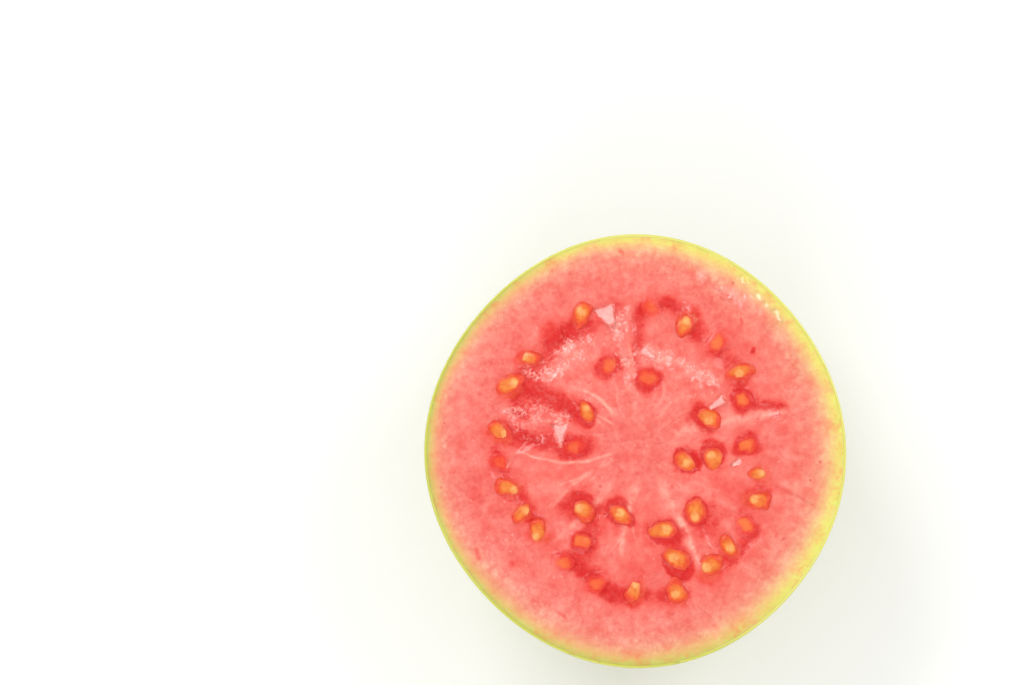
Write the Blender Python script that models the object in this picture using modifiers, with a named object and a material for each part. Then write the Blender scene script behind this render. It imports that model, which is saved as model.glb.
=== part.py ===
"""Half of a round pink guava, cut across its middle and lying on its skin, with the cut face up.

A Blender 4.5 script. Units are metres and +Z is up. The origin is the middle of the small flat
spot round the stem end that the half rests on, and the cut face lies level above it.
"""

import math
import random

import bmesh
import bpy
from mathutils import Euler, Vector

# The fruit as a turned shape.
FACE_RADIUS = 0.033
FACE_HEIGHT = 0.038
REST_RADIUS = 0.0070
SHOULDER = 0.92
BELLY = 0.045
SPOKES = 72
SKIN_RINGS = 17

# The stem end: a dimple inside the flat spot, with the woody scar of the stalk in it.
DIMPLE_RADIUS = 0.0042
DIMPLE_DEPTH = 0.0019
SCAR_RADIUS = 0.0016
SCAR_CLEARANCE = 0.0004

# How far the outline of the cut face strays from a circle: waves round it, share of radius, phase.
OUTLINE_WAVES = ((2, 0.0156, 173), (3, 0.004, 144), (4, 0.010, 0))
# Soft lumps of the skin between the cut and the stem end: waves round it, height, twist, phase.
SKIN_LUMPS = ((3, 0.00055, 0.6, 40), (5, 0.00035, -0.9, 150), (8, 0.00015, 1.4, 75))

# The seed chambers. Depths and heights are in metres, and lengths along the cut face are in
# shares of the face radius. A channel runs round each lobe, and fades out towards the core.
CHAMBER_REACH = 0.73
CHAMBER_EDGE = 0.06
CORE_REACH = 0.12
CORE_EDGE = 0.12
CHANNEL_DEPTH = 0.0008
CHANNEL_BANK = 0.055
CHAMBER_WALL = 0.018
CHAMBER_WALL_HEIGHT = 0.7
LOBE_ROOT = 0.10
LOBE_ROOT_RADIUS = 0.05
LOBE_HEAD = 0.40
LOBE_HEAD_RADIUS = 0.17
LOBE_CROWN = 0.00035
LOBE_CROWN_EDGE = 0.10
SHAPED_REACH = 0.77
FLESH_RING = 0.88
FACE_RINGS = 15

# Each chamber has a fleshy lobe that points outwards from the core, with seeds round it.
# direction: which way the lobe points, in degrees. wall_seeds: how many seeds lie along the outer
# wall, and the first and the last of them in degrees from the lobe. wall_reach: how far from the
# core the first and the last of them lie. side_seeds: the seeds up the lobe's sides, each as
# degrees from the lobe and distance from the core.
CHAMBERS = (
    {
        "direction": 56,
        "wall_seeds": (4, 28, -19),
        "wall_reach": (0.660, 0.620),
        "side_seeds": ((24, 0.34), (-31, 0.37), (-31, 0.565)),
    },
    {
        "direction": 128,
        "wall_seeds": (4, -16, 25),
        "wall_reach": (0.690, 0.675),
        "side_seeds": ((-21, 0.41), (14, 0.29)),
    },
    {
        "direction": 200,
        "wall_seeds": (5, -27, 21),
        "wall_reach": (0.640, 0.615),
        "side_seeds": ((-24, 0.29), (27, 0.37)),
    },
    {
        "direction": 272,
        "wall_seeds": (4, -34, 14),
        "wall_reach": (0.625, 0.675),
        "side_seeds": ((-32, 0.50), (-16, 0.31), (16, 0.40), (18, 0.54)),
    },
    {
        "direction": 344,
        "wall_seeds": (5, -42, 5),
        "wall_reach": (0.645, 0.610),
        "side_seeds": ((-30, 0.41), (2, 0.25), (11, 0.37), (18, 0.52)),
    },
)

# A seed, and how loosely the seeds lie.
SEED_LENGTH = 0.0038
SEED_WIDTH = 0.0029
SEED_THICKNESS = 0.0025
SEED_TAPER = 0.30
SEED_RISE = 0.00035
POCKET_DEPTH = 0.0008
POCKET_FLOOR = 0.0009
POCKET_RADIUS = 0.075
WALL_SEED_SPREAD = 0.010
SEED_SIZE_SPREAD = 0.10
SEED_TURN_SPREAD = math.radians(28)
SEED_TILT_SPREAD = math.radians(12)
RANDOM_SEED = 11

# name: base colour, roughness
FINISHES = {
    "guava_skin": ((0.52, 0.60, 0.08), 0.30),
    "guava_flesh": ((0.86, 0.18, 0.16), 0.35),
    "guava_seed": ((0.86, 0.52, 0.17), 0.35),
    "guava_stem_scar": ((0.17, 0.10, 0.04), 0.80),
}
TINY = 1e-6


def clear_scene():
    for old in list(bpy.data.objects):
        bpy.data.objects.remove(old, do_unlink=True)


def new_collection(name):
    made = bpy.data.collections.new(name)
    bpy.context.scene.collection.children.link(made)
    return made


def new_material(name):
    """A plain Principled finish from FINISHES."""
    base_color, roughness = FINISHES[name]
    material = bpy.data.materials.new(name)
    material.use_nodes = True
    shader = material.node_tree.nodes["Principled BSDF"]
    shader.inputs["Base Color"].default_value = (*base_color, 1.0)
    shader.inputs["Roughness"].default_value = roughness
    shader.inputs["Metallic"].default_value = 0.0
    return material


def smooth_step(low, high, value):
    """0 up to low, 1 from high, and an even ease between them."""
    share = min(1.0, max(0.0, (value - low) / (high - low)))
    return share * share * (3 - 2 * share)


def outline(angle):
    """The cut face's radius in that direction, as a share of FACE_RADIUS."""
    return 1 + sum(
        share * math.cos(waves * angle + math.radians(phase))
        for waves, share, phase in OUTLINE_WAVES
    )


def skin_profile():
    """(radius, height) down the skin, from just under the rim to the edge of the flat spot."""
    last_turn = math.acos((REST_RADIUS / FACE_RADIUS) ** (1 / SHOULDER))
    depth_to_pole = FACE_HEIGHT / math.sin(last_turn)
    points = []
    for ring in range(1, SKIN_RINGS + 1):
        turn = last_turn * ring / SKIN_RINGS
        belly = 1 + BELLY * math.sin(2 * turn) * math.cos(turn) ** 2
        radius = FACE_RADIUS * math.cos(turn) ** SHOULDER * belly
        points.append((radius, FACE_HEIGHT - depth_to_pole * math.sin(turn)))
    points[-1] = (REST_RADIUS, 0.0)
    return points


def stem_end_profile():
    """(radius, height) from the flat spot's inner edge, up the dimple and over the stalk's scar."""
    return [
        (DIMPLE_RADIUS, 0.0),
        (0.78 * DIMPLE_RADIUS, 0.55 * DIMPLE_DEPTH),
        (0.55 * DIMPLE_RADIUS, 0.92 * DIMPLE_DEPTH),
        (1.06 * SCAR_RADIUS, DIMPLE_DEPTH),
        (SCAR_RADIUS, 1.4 * SCAR_CLEARANCE),
        (0.75 * SCAR_RADIUS, SCAR_CLEARANCE),
        (0.0, 1.2 * SCAR_CLEARANCE),
    ]


def face_profile():
    """(radius, height) across the cut face, from its middle to the rim."""
    shaped_rings = [SHAPED_REACH * ring / FACE_RINGS for ring in range(FACE_RINGS + 1)]
    return [(FACE_RADIUS * share, FACE_HEIGHT) for share in [*shaped_rings, FLESH_RING, 1.0]]


def turned_body(collection):
    """The fruit's half as one turned mesh, before its outline and its chambers are shaped."""
    profile = face_profile() + skin_profile() + stem_end_profile()
    mesh = bpy.data.meshes.new("guava_profile")
    mesh.from_pydata(
        [(radius, 0.0, height) for radius, height in profile],
        [(i, i + 1) for i in range(len(profile) - 1)],
        [],
    )
    guide = bpy.data.objects.new("guava_profile", mesh)
    collection.objects.link(guide)
    screw = guide.modifiers.new("turn", "SCREW")
    screw.steps = SPOKES
    screw.render_steps = SPOKES
    screw.use_merge_vertices = True
    screw.merge_threshold = TINY
    graph = bpy.context.evaluated_depsgraph_get()
    turned = bpy.data.meshes.new_from_object(guide.evaluated_get(graph))
    bpy.data.objects.remove(guide, do_unlink=True)
    body = bpy.data.objects.new("guava_half", turned)
    collection.objects.link(body)
    return body


def lobe_distance(x, y, direction):
    """How far a point of the face lies outside a chamber's lobe, in shares of the face radius.

    The lobe is a round cone: a small circle near the core and a large one further out, and what
    lies between their common tangents.
    """
    along = x * math.cos(direction) + y * math.sin(direction) - LOBE_ROOT
    across = abs(y * math.cos(direction) - x * math.sin(direction))
    length = LOBE_HEAD - LOBE_ROOT
    slope = (LOBE_ROOT_RADIUS - LOBE_HEAD_RADIUS) / length
    side = math.sqrt(1 - slope * slope)
    place = side * along - slope * across
    if place < 0:
        return math.hypot(across, along) - LOBE_ROOT_RADIUS
    if place > side * length:
        return math.hypot(across, along - length) - LOBE_HEAD_RADIUS
    return side * across + slope * along - LOBE_ROOT_RADIUS


def wall_distance(x, y):
    """How far a point lies from the nearest of the thin walls between neighbouring chambers."""
    nearest = 1.0
    for index, chamber in enumerate(CHAMBERS):
        following = CHAMBERS[(index + 1) % len(CHAMBERS)]["direction"]
        between = (following - chamber["direction"]) % 360 / 2
        middle = math.radians(chamber["direction"] + between)
        if x * math.cos(middle) + y * math.sin(middle) > 0:
            nearest = min(nearest, abs(y * math.cos(middle) - x * math.sin(middle)))
    return nearest


def lobes_relief(x, y):
    """How far the lobes stand above the cut's plane at x, y, and how deep the channels lie."""
    reach = math.hypot(x, y)
    to_lobe = min(
        lobe_distance(x, y, math.radians(chamber["direction"])) for chamber in CHAMBERS
    )
    inside = smooth_step(CHAMBER_REACH, CHAMBER_REACH - CHAMBER_EDGE, reach)
    clear_of_core = smooth_step(CORE_REACH, CORE_REACH + CORE_EDGE, reach)
    channel = smooth_step(0.0, CHANNEL_BANK, to_lobe) * inside * clear_of_core
    wall = CHAMBER_WALL_HEIGHT * math.exp(-((wall_distance(x, y) / CHAMBER_WALL) ** 2))
    crown = smooth_step(0.0, -LOBE_CROWN_EDGE, to_lobe)
    return LOBE_CROWN * crown - CHANNEL_DEPTH * channel * (1 - wall)


def face_relief(x, y, seeds):
    """How far the cut face stands above its plane at x, y, which are shares of the face radius.

    Each seed lies in a small pocket of its own, which is shallower where the face is low already.
    """
    nearest = min(math.hypot(x - seed["x"], y - seed["y"]) for seed in seeds)
    pocket = math.exp(-((nearest / POCKET_RADIUS) ** 2))
    relief = lobes_relief(x, y)
    return max(relief - POCKET_DEPTH * pocket, min(relief, -POCKET_FLOOR))


def shape_body(body, seeds):
    """Gives the turned half its uneven outline, the lumps of its skin and its seed chambers."""
    for vertex in body.data.vertices:
        angle = math.atan2(vertex.co.y, vertex.co.x)
        radius = math.hypot(vertex.co.x, vertex.co.y)
        share = min(1.0, vertex.co.z / FACE_HEIGHT)
        swell = outline(angle) ** share
        if share > 1 - TINY and radius < (SHAPED_REACH + TINY) * FACE_RADIUS:
            vertex.co.z += face_relief(vertex.co.x / FACE_RADIUS, vertex.co.y / FACE_RADIUS, seeds)
        elif REST_RADIUS < radius and share < 1 - TINY:
            window = math.sin(math.pi * share) ** 1.5
            for waves, height, twist, phase in SKIN_LUMPS:
                turn = waves * angle + twist * math.tau * share + math.radians(phase)
                radius += height * window * math.cos(turn)
        vertex.co.x = radius * swell * math.cos(angle)
        vertex.co.y = radius * swell * math.sin(angle)


def paint_body(body):
    """Skin outside, flesh on the cut face and bark on the stalk's scar."""
    for name in FINISHES:
        body.data.materials.append(new_material(name))
    names = list(FINISHES)
    for face in body.data.polygons:
        heights = [body.data.vertices[i].co.z for i in face.vertices]
        reaches = [body.data.vertices[i].co.to_2d().length for i in face.vertices]
        if min(heights) > FACE_HEIGHT - TINY:
            face.material_index = names.index("guava_flesh")
        elif max(reaches) < 1.02 * SCAR_RADIUS:
            face.material_index = names.index("guava_stem_scar")
        else:
            face.material_index = names.index("guava_skin")


def seed_mesh():
    """A seed lying along +X, rounded, flattened and narrower at its +X end."""
    mesh = bpy.data.meshes.new("guava_seed")
    shape = bmesh.new()
    bmesh.ops.create_icosphere(shape, subdivisions=2, radius=1.0)
    for vertex in shape.verts:
        taper = 1 - SEED_TAPER * (vertex.co.x + 1) / 2
        vertex.co.x *= SEED_LENGTH / 2
        vertex.co.y *= SEED_WIDTH / 2 * taper
        vertex.co.z *= SEED_THICKNESS / 2 * taper
    shape.to_mesh(mesh)
    shape.free()
    mesh.materials.append(bpy.data.materials["guava_seed"])
    return mesh


def seed_directions(draw):
    """(direction, distance from the core, lobe's direction) of every seed, in radians."""
    found = []
    for chamber in CHAMBERS:
        lobe = math.radians(chamber["direction"])
        count, first, last = chamber["wall_seeds"]
        first_reach, last_reach = chamber["wall_reach"]
        for index in range(count):
            share = index / (count - 1)
            turn = first + (last - first) * share
            reach = first_reach + (last_reach - first_reach) * share
            reach += draw.uniform(-WALL_SEED_SPREAD, WALL_SEED_SPREAD)
            found.append((lobe + math.radians(turn), reach, lobe))
        for turn, reach in chamber["side_seeds"]:
            found.append((lobe + math.radians(turn), reach, lobe))
    return found


def lay_out_seeds():
    """Where each seed lies on the face and how it is turned: its narrow end is towards its lobe."""
    draw = random.Random(RANDOM_SEED)
    seeds = []
    for direction, reach, lobe in seed_directions(draw):
        x, y = reach * math.cos(direction), reach * math.sin(direction)
        heading = math.atan2(
            LOBE_HEAD * math.sin(lobe) - y,
            LOBE_HEAD * math.cos(lobe) - x,
        )
        seeds.append(
            {
                "x": x,
                "y": y,
                "turn": heading + draw.uniform(-SEED_TURN_SPREAD, SEED_TURN_SPREAD),
                "tilt": draw.uniform(-SEED_TILT_SPREAD, SEED_TILT_SPREAD),
                "size": 1 + draw.uniform(-SEED_SIZE_SPREAD, SEED_SIZE_SPREAD),
            }
        )
    return seeds


def add_seeds(collection, seeds):
    """Every seed as its own object, sunk in the flesh."""
    mesh = seed_mesh()
    for number, lie in enumerate(seeds):
        seed = bpy.data.objects.new(f"seed_{number:02d}", mesh)
        height = FACE_HEIGHT + SEED_RISE - lie["size"] * SEED_THICKNESS / 2
        seed.location = Vector((lie["x"] * FACE_RADIUS, lie["y"] * FACE_RADIUS, height))
        seed.rotation_euler = Euler((0.0, lie["tilt"], lie["turn"]))
        seed.scale = (lie["size"],) * 3
        collection.objects.link(seed)


def join_seeds(body, seeds):
    """Makes the seeds one solid with the flesh that holds them, and removes their objects."""
    union = body.modifiers.new("seeds", "BOOLEAN")
    union.operation = "UNION"
    union.operand_type = "COLLECTION"
    union.collection = seeds
    union.solver = "EXACT"
    union.material_mode = "TRANSFER"
    graph = bpy.context.evaluated_depsgraph_get()
    joined = bpy.data.meshes.new_from_object(body.evaluated_get(graph))
    body.modifiers.clear()
    body.data = joined
    for seed in list(seeds.objects):
        bpy.data.objects.remove(seed, do_unlink=True)
    bpy.data.collections.remove(seeds)


def main():
    clear_scene()
    guava = new_collection("guava")
    loose_seeds = new_collection("guava_seeds")
    seeds = lay_out_seeds()
    body = turned_body(guava)
    paint_body(body)
    shape_body(body, seeds)
    add_seeds(loose_seeds, seeds)
    join_seeds(body, loose_seeds)
    body.data.shade_smooth()
    body.data.set_sharp_from_angle(angle=math.radians(40))


main()
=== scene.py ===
"""The looks of half a pink guava, which lies on its skin with the cut face up.

A Blender 4.5 script, in metres with +Z up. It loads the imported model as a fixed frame, builds the
skin, the flesh with its seed chambers, the seeds and the stalk's scar round it, gives each of them
its finish, and sets up a small white studio. Lengths along the cut face are in shares of the face's
radius, and its heights are in metres.
"""

from __future__ import annotations

import logging
import math
import random
from dataclasses import dataclass, field
from enum import Enum
from functools import partial, reduce

import bmesh
import bpy
import numpy as np
from mathutils import Euler, Matrix, Vector, noise

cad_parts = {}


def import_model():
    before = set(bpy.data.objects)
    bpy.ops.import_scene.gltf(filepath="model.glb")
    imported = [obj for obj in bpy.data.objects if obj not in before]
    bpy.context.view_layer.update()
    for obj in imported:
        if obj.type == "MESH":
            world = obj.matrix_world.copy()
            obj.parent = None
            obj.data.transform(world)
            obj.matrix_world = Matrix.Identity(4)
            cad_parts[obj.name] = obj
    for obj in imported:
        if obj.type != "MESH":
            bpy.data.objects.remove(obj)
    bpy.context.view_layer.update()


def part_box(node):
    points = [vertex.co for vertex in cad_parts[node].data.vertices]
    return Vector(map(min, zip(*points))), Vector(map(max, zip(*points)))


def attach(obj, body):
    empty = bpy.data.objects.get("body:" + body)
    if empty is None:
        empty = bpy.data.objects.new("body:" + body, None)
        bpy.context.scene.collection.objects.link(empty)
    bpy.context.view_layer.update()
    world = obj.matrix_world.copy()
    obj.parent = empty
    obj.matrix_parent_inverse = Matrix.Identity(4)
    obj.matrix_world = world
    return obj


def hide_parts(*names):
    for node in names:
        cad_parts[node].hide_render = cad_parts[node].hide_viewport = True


LOG = logging.getLogger("guava")
NODE = "guava_half"
BODY = "root"
TINY = 1e-6
MM = 0.001
RIPE_SIDE = math.radians(30)

Array = np.ndarray
Colour = tuple[float, float, float]


# ---------------------------------------------------------------- small sums


def smooth_step(low: float, high: float, value: Array) -> Array:
    """Eases from 0 to 1.

    Args:
        low: The value up to which the result is 0.
        high: The value from which the result is 1. It may be below low.
        value: Where to read the ease.

    Returns:
        The eased share, one for each value.
    """
    share = np.clip((value - low) / (high - low), 0.0, 1.0)
    return share * share * (3 - 2 * share)


def soft_patches(points: Array, size: float, place: float, octaves: float = 3.0) -> Array:
    """Smooth seeded noise.

    Args:
        points: One x, y, z row for each point, in any unit.
        size: How far across a patch is, in the same unit.
        place: Which part of the endless noise is read, so that two uses differ.
        octaves: How many finer layers lie on the patches.

    Returns:
        One value a point, mostly from -1 to 1.
    """
    shift = Vector((place * 7.3, place * 3.1 + 11.0, place * 5.7 - 4.0))
    return np.array(
        [noise.fractal(Vector(row) / size + shift, 1.0, 2.0, octaves) for row in points]
    )


def grains(points: Array, size: float, place: float) -> Array:
    """Rounded cells side by side, like the juicy grains of the pulp.

    Args:
        points: One x, y, z row for each point, in any unit.
        size: How far across a grain is, in the same unit.
        place: Which part of the endless pattern is read.

    Returns:
        One value a point: 1 at a grain's middle and 0 in the crease between two.
    """
    shift = Vector((place * 5.1, place * 9.7 - 2.0, place * 2.3))
    found = [noise.voronoi(Vector(row) / size + shift)[0][:2] for row in points]
    near, next_near = np.array(found).T
    return smooth_step(0.0, 0.55, next_near - near) * (1 - 0.35 * near)


# ---------------------------------------------------------------- the fruit's form


@dataclass(frozen=True)
class FruitForm:
    """The turned form of the half, which the skin and the flesh share.

    Attributes:
        face_radius: The cut face's mean radius.
        face_height: The cut face's height above the surface that the half rests on.
        rest_radius: The outer radius of the small flat spot under it.
        shoulder: How square the fruit's side is: under 1 is squarer than an ellipse.
        belly: How much the side swells below the cut, as a share of the radius.
        dimple_radius: The inner radius of the flat spot, where the stem end's dimple starts.
        dimple_depth: How deep the dimple goes in.
        skin_thickness: How thick the skin is.
    """

    face_radius: float
    face_height: float
    rest_radius: float = 0.0070
    shoulder: float = 0.92
    belly: float = 0.045
    dimple_radius: float = 0.0042
    dimple_depth: float = 0.0019
    skin_thickness: float = 0.00042

    OUTLINE_WAVES = ((2, 0.0156, 173), (3, 0.004, 144), (4, 0.010, 0))
    SKIN_LUMPS = ((3, 0.00055, 0.6, 40), (5, 0.00035, -0.9, 150), (8, 0.00015, 1.4, 75))
    LOBE_CROWN = 0.00035

    @classmethod
    def from_frame(cls) -> FruitForm:
        """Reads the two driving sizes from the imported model's box.

        Returns:
            The form.
        """
        low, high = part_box(NODE)
        turn = np.linspace(0, math.tau, 721)
        across = cls.outline(turn) * np.cos(turn)
        return cls(
            face_radius=float((high.x - low.x) / (across.max() - across.min())),
            face_height=float(high.z - cls.LOBE_CROWN),
        )

    @classmethod
    def outline(cls, angle: Array) -> Array:
        """How far out the cut face's edge is.

        Args:
            angle: The directions to read it at, in radians.

        Returns:
            The face's radius there, as a share of its mean radius.
        """
        waves = (
            share * np.cos(count * angle + math.radians(phase))
            for count, share, phase in cls.OUTLINE_WAVES
        )
        return 1 + sum(waves)

    def side(self, share: Array) -> tuple[Array, Array]:
        """The skin's profile.

        Args:
            share: How far down the skin, from 0 at the rim to 1 at the flat spot's edge.

        Returns:
            The radius and the height there.
        """
        last_turn = math.acos((self.rest_radius / self.face_radius) ** (1 / self.shoulder))
        turn = last_turn * share
        swell = 1 + self.belly * np.sin(2 * turn) * np.cos(turn) ** 2
        radius = self.face_radius * np.cos(turn) ** self.shoulder * swell
        height = self.face_height * (1 - np.sin(turn) / math.sin(last_turn))
        return radius, height

    def lumps(self, angle: Array, height: Array) -> Array:
        """How far the skin's soft lumps stand out.

        Args:
            angle: The directions to read them at, in radians.
            height: The heights there.

        Returns:
            How far out the skin is pushed there.
        """
        share = np.clip(height / self.face_height, 0.0, 1.0)
        window = np.sin(math.pi * share) ** 1.5
        waves = (
            rise * np.cos(count * angle + twist * math.tau * share + math.radians(phase))
            for count, rise, twist, phase in self.SKIN_LUMPS
        )
        return window * sum(waves)

    def swell(self, angle: Array, height: Array) -> Array:
        """How the cut's outline fades out down the skin: the share to multiply a radius by."""
        share = np.clip(height / self.face_height, 0.0, 1.0)
        return self.outline(angle) ** share


@dataclass(frozen=True)
class Seed:
    """Where one seed lies on the cut face, and how.

    Attributes:
        x: Its place, in shares of the face's radius.
        y: Its place, in shares of the face's radius.
        turn: Where its narrow end points, in radians.
        tilt: How far its narrow end dips, in radians.
        size: Its size, as a share of the mean seed's.
        veil: How thick the pulp over it is: 0 where it is bare, 1 where it hardly shows.
        socket: How deep and dark the pocket round it is, from 0 to 1.
    """

    x: float
    y: float
    turn: float
    tilt: float
    size: float
    veil: float
    socket: float


@dataclass(frozen=True)
class Chamber:
    """One seed chamber: a fleshy lobe that points out from the core, with seeds round it.

    Attributes:
        direction: Which way the lobe points, in degrees.
        wall_seeds: How many seeds lie along the outer wall, and the first and last of them, in
            degrees from the lobe.
        wall_reach: How far from the core the first and the last of them lie.
        side_seeds: The seeds up the lobe's sides: degrees from the lobe, distance from the core.
        veiled: Which of its seeds pulp covers, counted through the wall's and then the sides',
            and how thickly.
    """

    direction: float
    wall_seeds: tuple[int, float, float]
    wall_reach: tuple[float, float]
    side_seeds: tuple[tuple[float, float], ...]
    veiled: dict[int, float]

    def places(self, draw: random.Random, spread: float) -> list[tuple[float, float]]:
        """The direction in radians and the distance from the core of each seed.

        Args:
            draw: The seeded draw that all the seeds share.
            spread: How much the wall's seeds stray from their distance.

        Returns:
            The wall's seeds first and then the sides'.
        """
        count, first, last = self.wall_seeds
        first_reach, last_reach = self.wall_reach
        found = []
        for index in range(count):
            share = index / (count - 1)
            turn = first + (last - first) * share
            reach = first_reach + (last_reach - first_reach) * share
            reach += draw.uniform(-spread, spread)
            found.append((math.radians(self.direction + turn), reach))
        for turn, distance in self.side_seeds:
            found.append((math.radians(self.direction + turn), distance))
        return found


CHAMBERS = (
    Chamber(
        direction=56,
        wall_seeds=(4, 28, -19),
        wall_reach=(0.660, 0.620),
        side_seeds=((24, 0.34), (-31, 0.37), (-31, 0.565)),
        veiled={0: 0.9, 2: 0.6, 4: 0.8, 6: 0.6},
    ),
    Chamber(
        direction=128,
        wall_seeds=(4, -16, 25),
        wall_reach=(0.690, 0.675),
        side_seeds=((-21, 0.41), (14, 0.29)),
        veiled={1: 1.0, 4: 0.8},
    ),
    Chamber(
        direction=200,
        wall_seeds=(5, -27, 21),
        wall_reach=(0.640, 0.615),
        side_seeds=((-24, 0.29), (27, 0.37)),
        veiled={1: 0.9, 5: 0.9},
    ),
    Chamber(
        direction=272,
        wall_seeds=(4, -34, 14),
        wall_reach=(0.625, 0.675),
        side_seeds=((-32, 0.50), (-16, 0.31), (16, 0.40), (18, 0.54)),
        veiled={0: 0.7, 1: 0.8, 4: 0.5},
    ),
    Chamber(
        direction=344,
        wall_seeds=(5, -42, 5),
        wall_reach=(0.645, 0.610),
        side_seeds=((-30, 0.41), (2, 0.25), (11, 0.37), (18, 0.52)),
        veiled={2: 0.6, 8: 0.5},
    ),
)


@dataclass(frozen=True)
class Stroke:
    """A marking drawn along a line in the cut face: a strand, a vein or a stretch of dark pulp.

    Attributes:
        start: Its inner end: direction in degrees, distance from the core.
        end: Its outer end: direction in degrees, distance from the core.
        bend: How far its middle bows to the left, as a share of its length.
        width: How wide it is, in shares of the face's radius.
        strength: How clearly it shows, from 0 to 1.
    """

    start: tuple[float, float]
    end: tuple[float, float]
    bend: float
    width: float
    strength: float

    def distance(self, x: Array, y: Array) -> tuple[Array, Array]:
        """How far points lie from the line.

        Args:
            x: The points' places, in shares of the face's radius.
            y: The same, across.

        Returns:
            The distance to the line and how far along it the nearest place is, from 0 to 1.
        """
        (turn0, reach0), (turn1, reach1) = self.start, self.end
        first = reach0 * np.exp(1j * math.radians(turn0))
        last = reach1 * np.exp(1j * math.radians(turn1))
        point = (x + 1j * y - first) / (last - first)
        share = np.clip(point.real, 0.0, 1.0)
        bowed = 4 * self.bend * share * (1 - share)
        away = np.hypot(point.real - share, point.imag - bowed)
        return away * abs(last - first), share

    def thread(self, x: Array, y: Array) -> Array:
        """How clearly it shows as a thread that thins and fades towards its outer end.

        Args:
            x: The points' places, in shares of the face's radius.
            y: The same, across.

        Returns:
            The clearness, from 0 to its strength.
        """
        away, share = self.distance(x, y)
        width = self.width * (1 - 0.6 * share)
        fade = smooth_step(1.0, 0.75, share) * smooth_step(0.0, 0.15, share)
        return self.strength * fade * np.exp(-((away / width) ** 2))

    def stain(self, x: Array, y: Array) -> Array:
        """How clearly it shows as a stain with soft edges and round ends."""
        away, _ = self.distance(x, y)
        return self.strength * smooth_step(2.3, 0.2, away / self.width)


FIBRES = (
    Stroke((24, 0.14), (13, 0.88), 0.03, 0.030, 0.8),
    Stroke((92, 0.12), (94, 0.56), -0.03, 0.020, 0.6),
    Stroke((122, 0.16), (137, 0.44), -0.14, 0.010, 1.0),
    Stroke((130, 0.14), (146, 0.36), -0.08, 0.007, 0.8),
    Stroke((140, 0.16), (126, 0.40), 0.18, 0.009, 0.7),
    Stroke((183, 0.08), (178, 0.60), 0.13, 0.009, 1.0),
    Stroke((196, 0.16), (203, 0.44), 0.10, 0.007, 0.8),
    Stroke((205, 0.10), (216, 0.50), -0.08, 0.016, 0.7),
    Stroke((234, 0.16), (228, 0.62), 0.04, 0.024, 0.6),
    Stroke((276, 0.14), (263, 0.54), -0.06, 0.026, 0.9),
    Stroke((262, 0.30), (252, 0.52), 0.15, 0.007, 0.8),
    Stroke((308, 0.14), (298, 0.72), 0.03, 0.028, 1.0),
    Stroke((150, 0.79), (176, 0.82), -0.12, 0.085, 0.30),
    Stroke((100, 0.50), (60, 0.48), -0.10, 0.060, 0.25),
    Stroke((318, 0.20), (332, 0.38), -0.20, 0.010, 0.4),
    Stroke((52, 0.18), (38, 0.40), 0.22, 0.010, 0.5),
    Stroke((66, 0.20), (72, 0.38), -0.20, 0.010, 0.4),
)


def fine_fibres(count: int, seed: int) -> tuple[Stroke, ...]:
    """Thin strands that run out from the core at random.

    Args:
        count: How many there are.
        seed: The seed of the draw.

    Returns:
        The strands.
    """
    draw = random.Random(seed)
    found = []
    for _ in range(count):
        turn = draw.uniform(0, 360)
        inner = draw.uniform(0.12, 0.30)
        outer = inner + draw.uniform(0.08, 0.24)
        found.append(
            Stroke(
                start=(turn, inner),
                end=(turn + draw.uniform(-7, 7), outer),
                bend=draw.uniform(-0.20, 0.20),
                width=draw.uniform(0.0050, 0.0100),
                strength=draw.uniform(0.10, 0.40),
            )
        )
    return tuple(found)


VEINS = (
    Stroke((346, 0.66), (342, 0.92), 0.02, 0.012, 0.7),
    Stroke((250, 0.74), (246, 0.84), 0.03, 0.006, 0.6),
    Stroke((69, 0.74), (66, 0.90), 0.02, 0.005, 0.4),
    Stroke((116, 0.76), (114, 0.90), 0.03, 0.005, 0.4),
    Stroke((196, 0.76), (199, 0.90), 0.02, 0.005, 0.4),
    Stroke((291, 0.76), (295, 0.88), 0.02, 0.005, 0.5),
)

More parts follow.
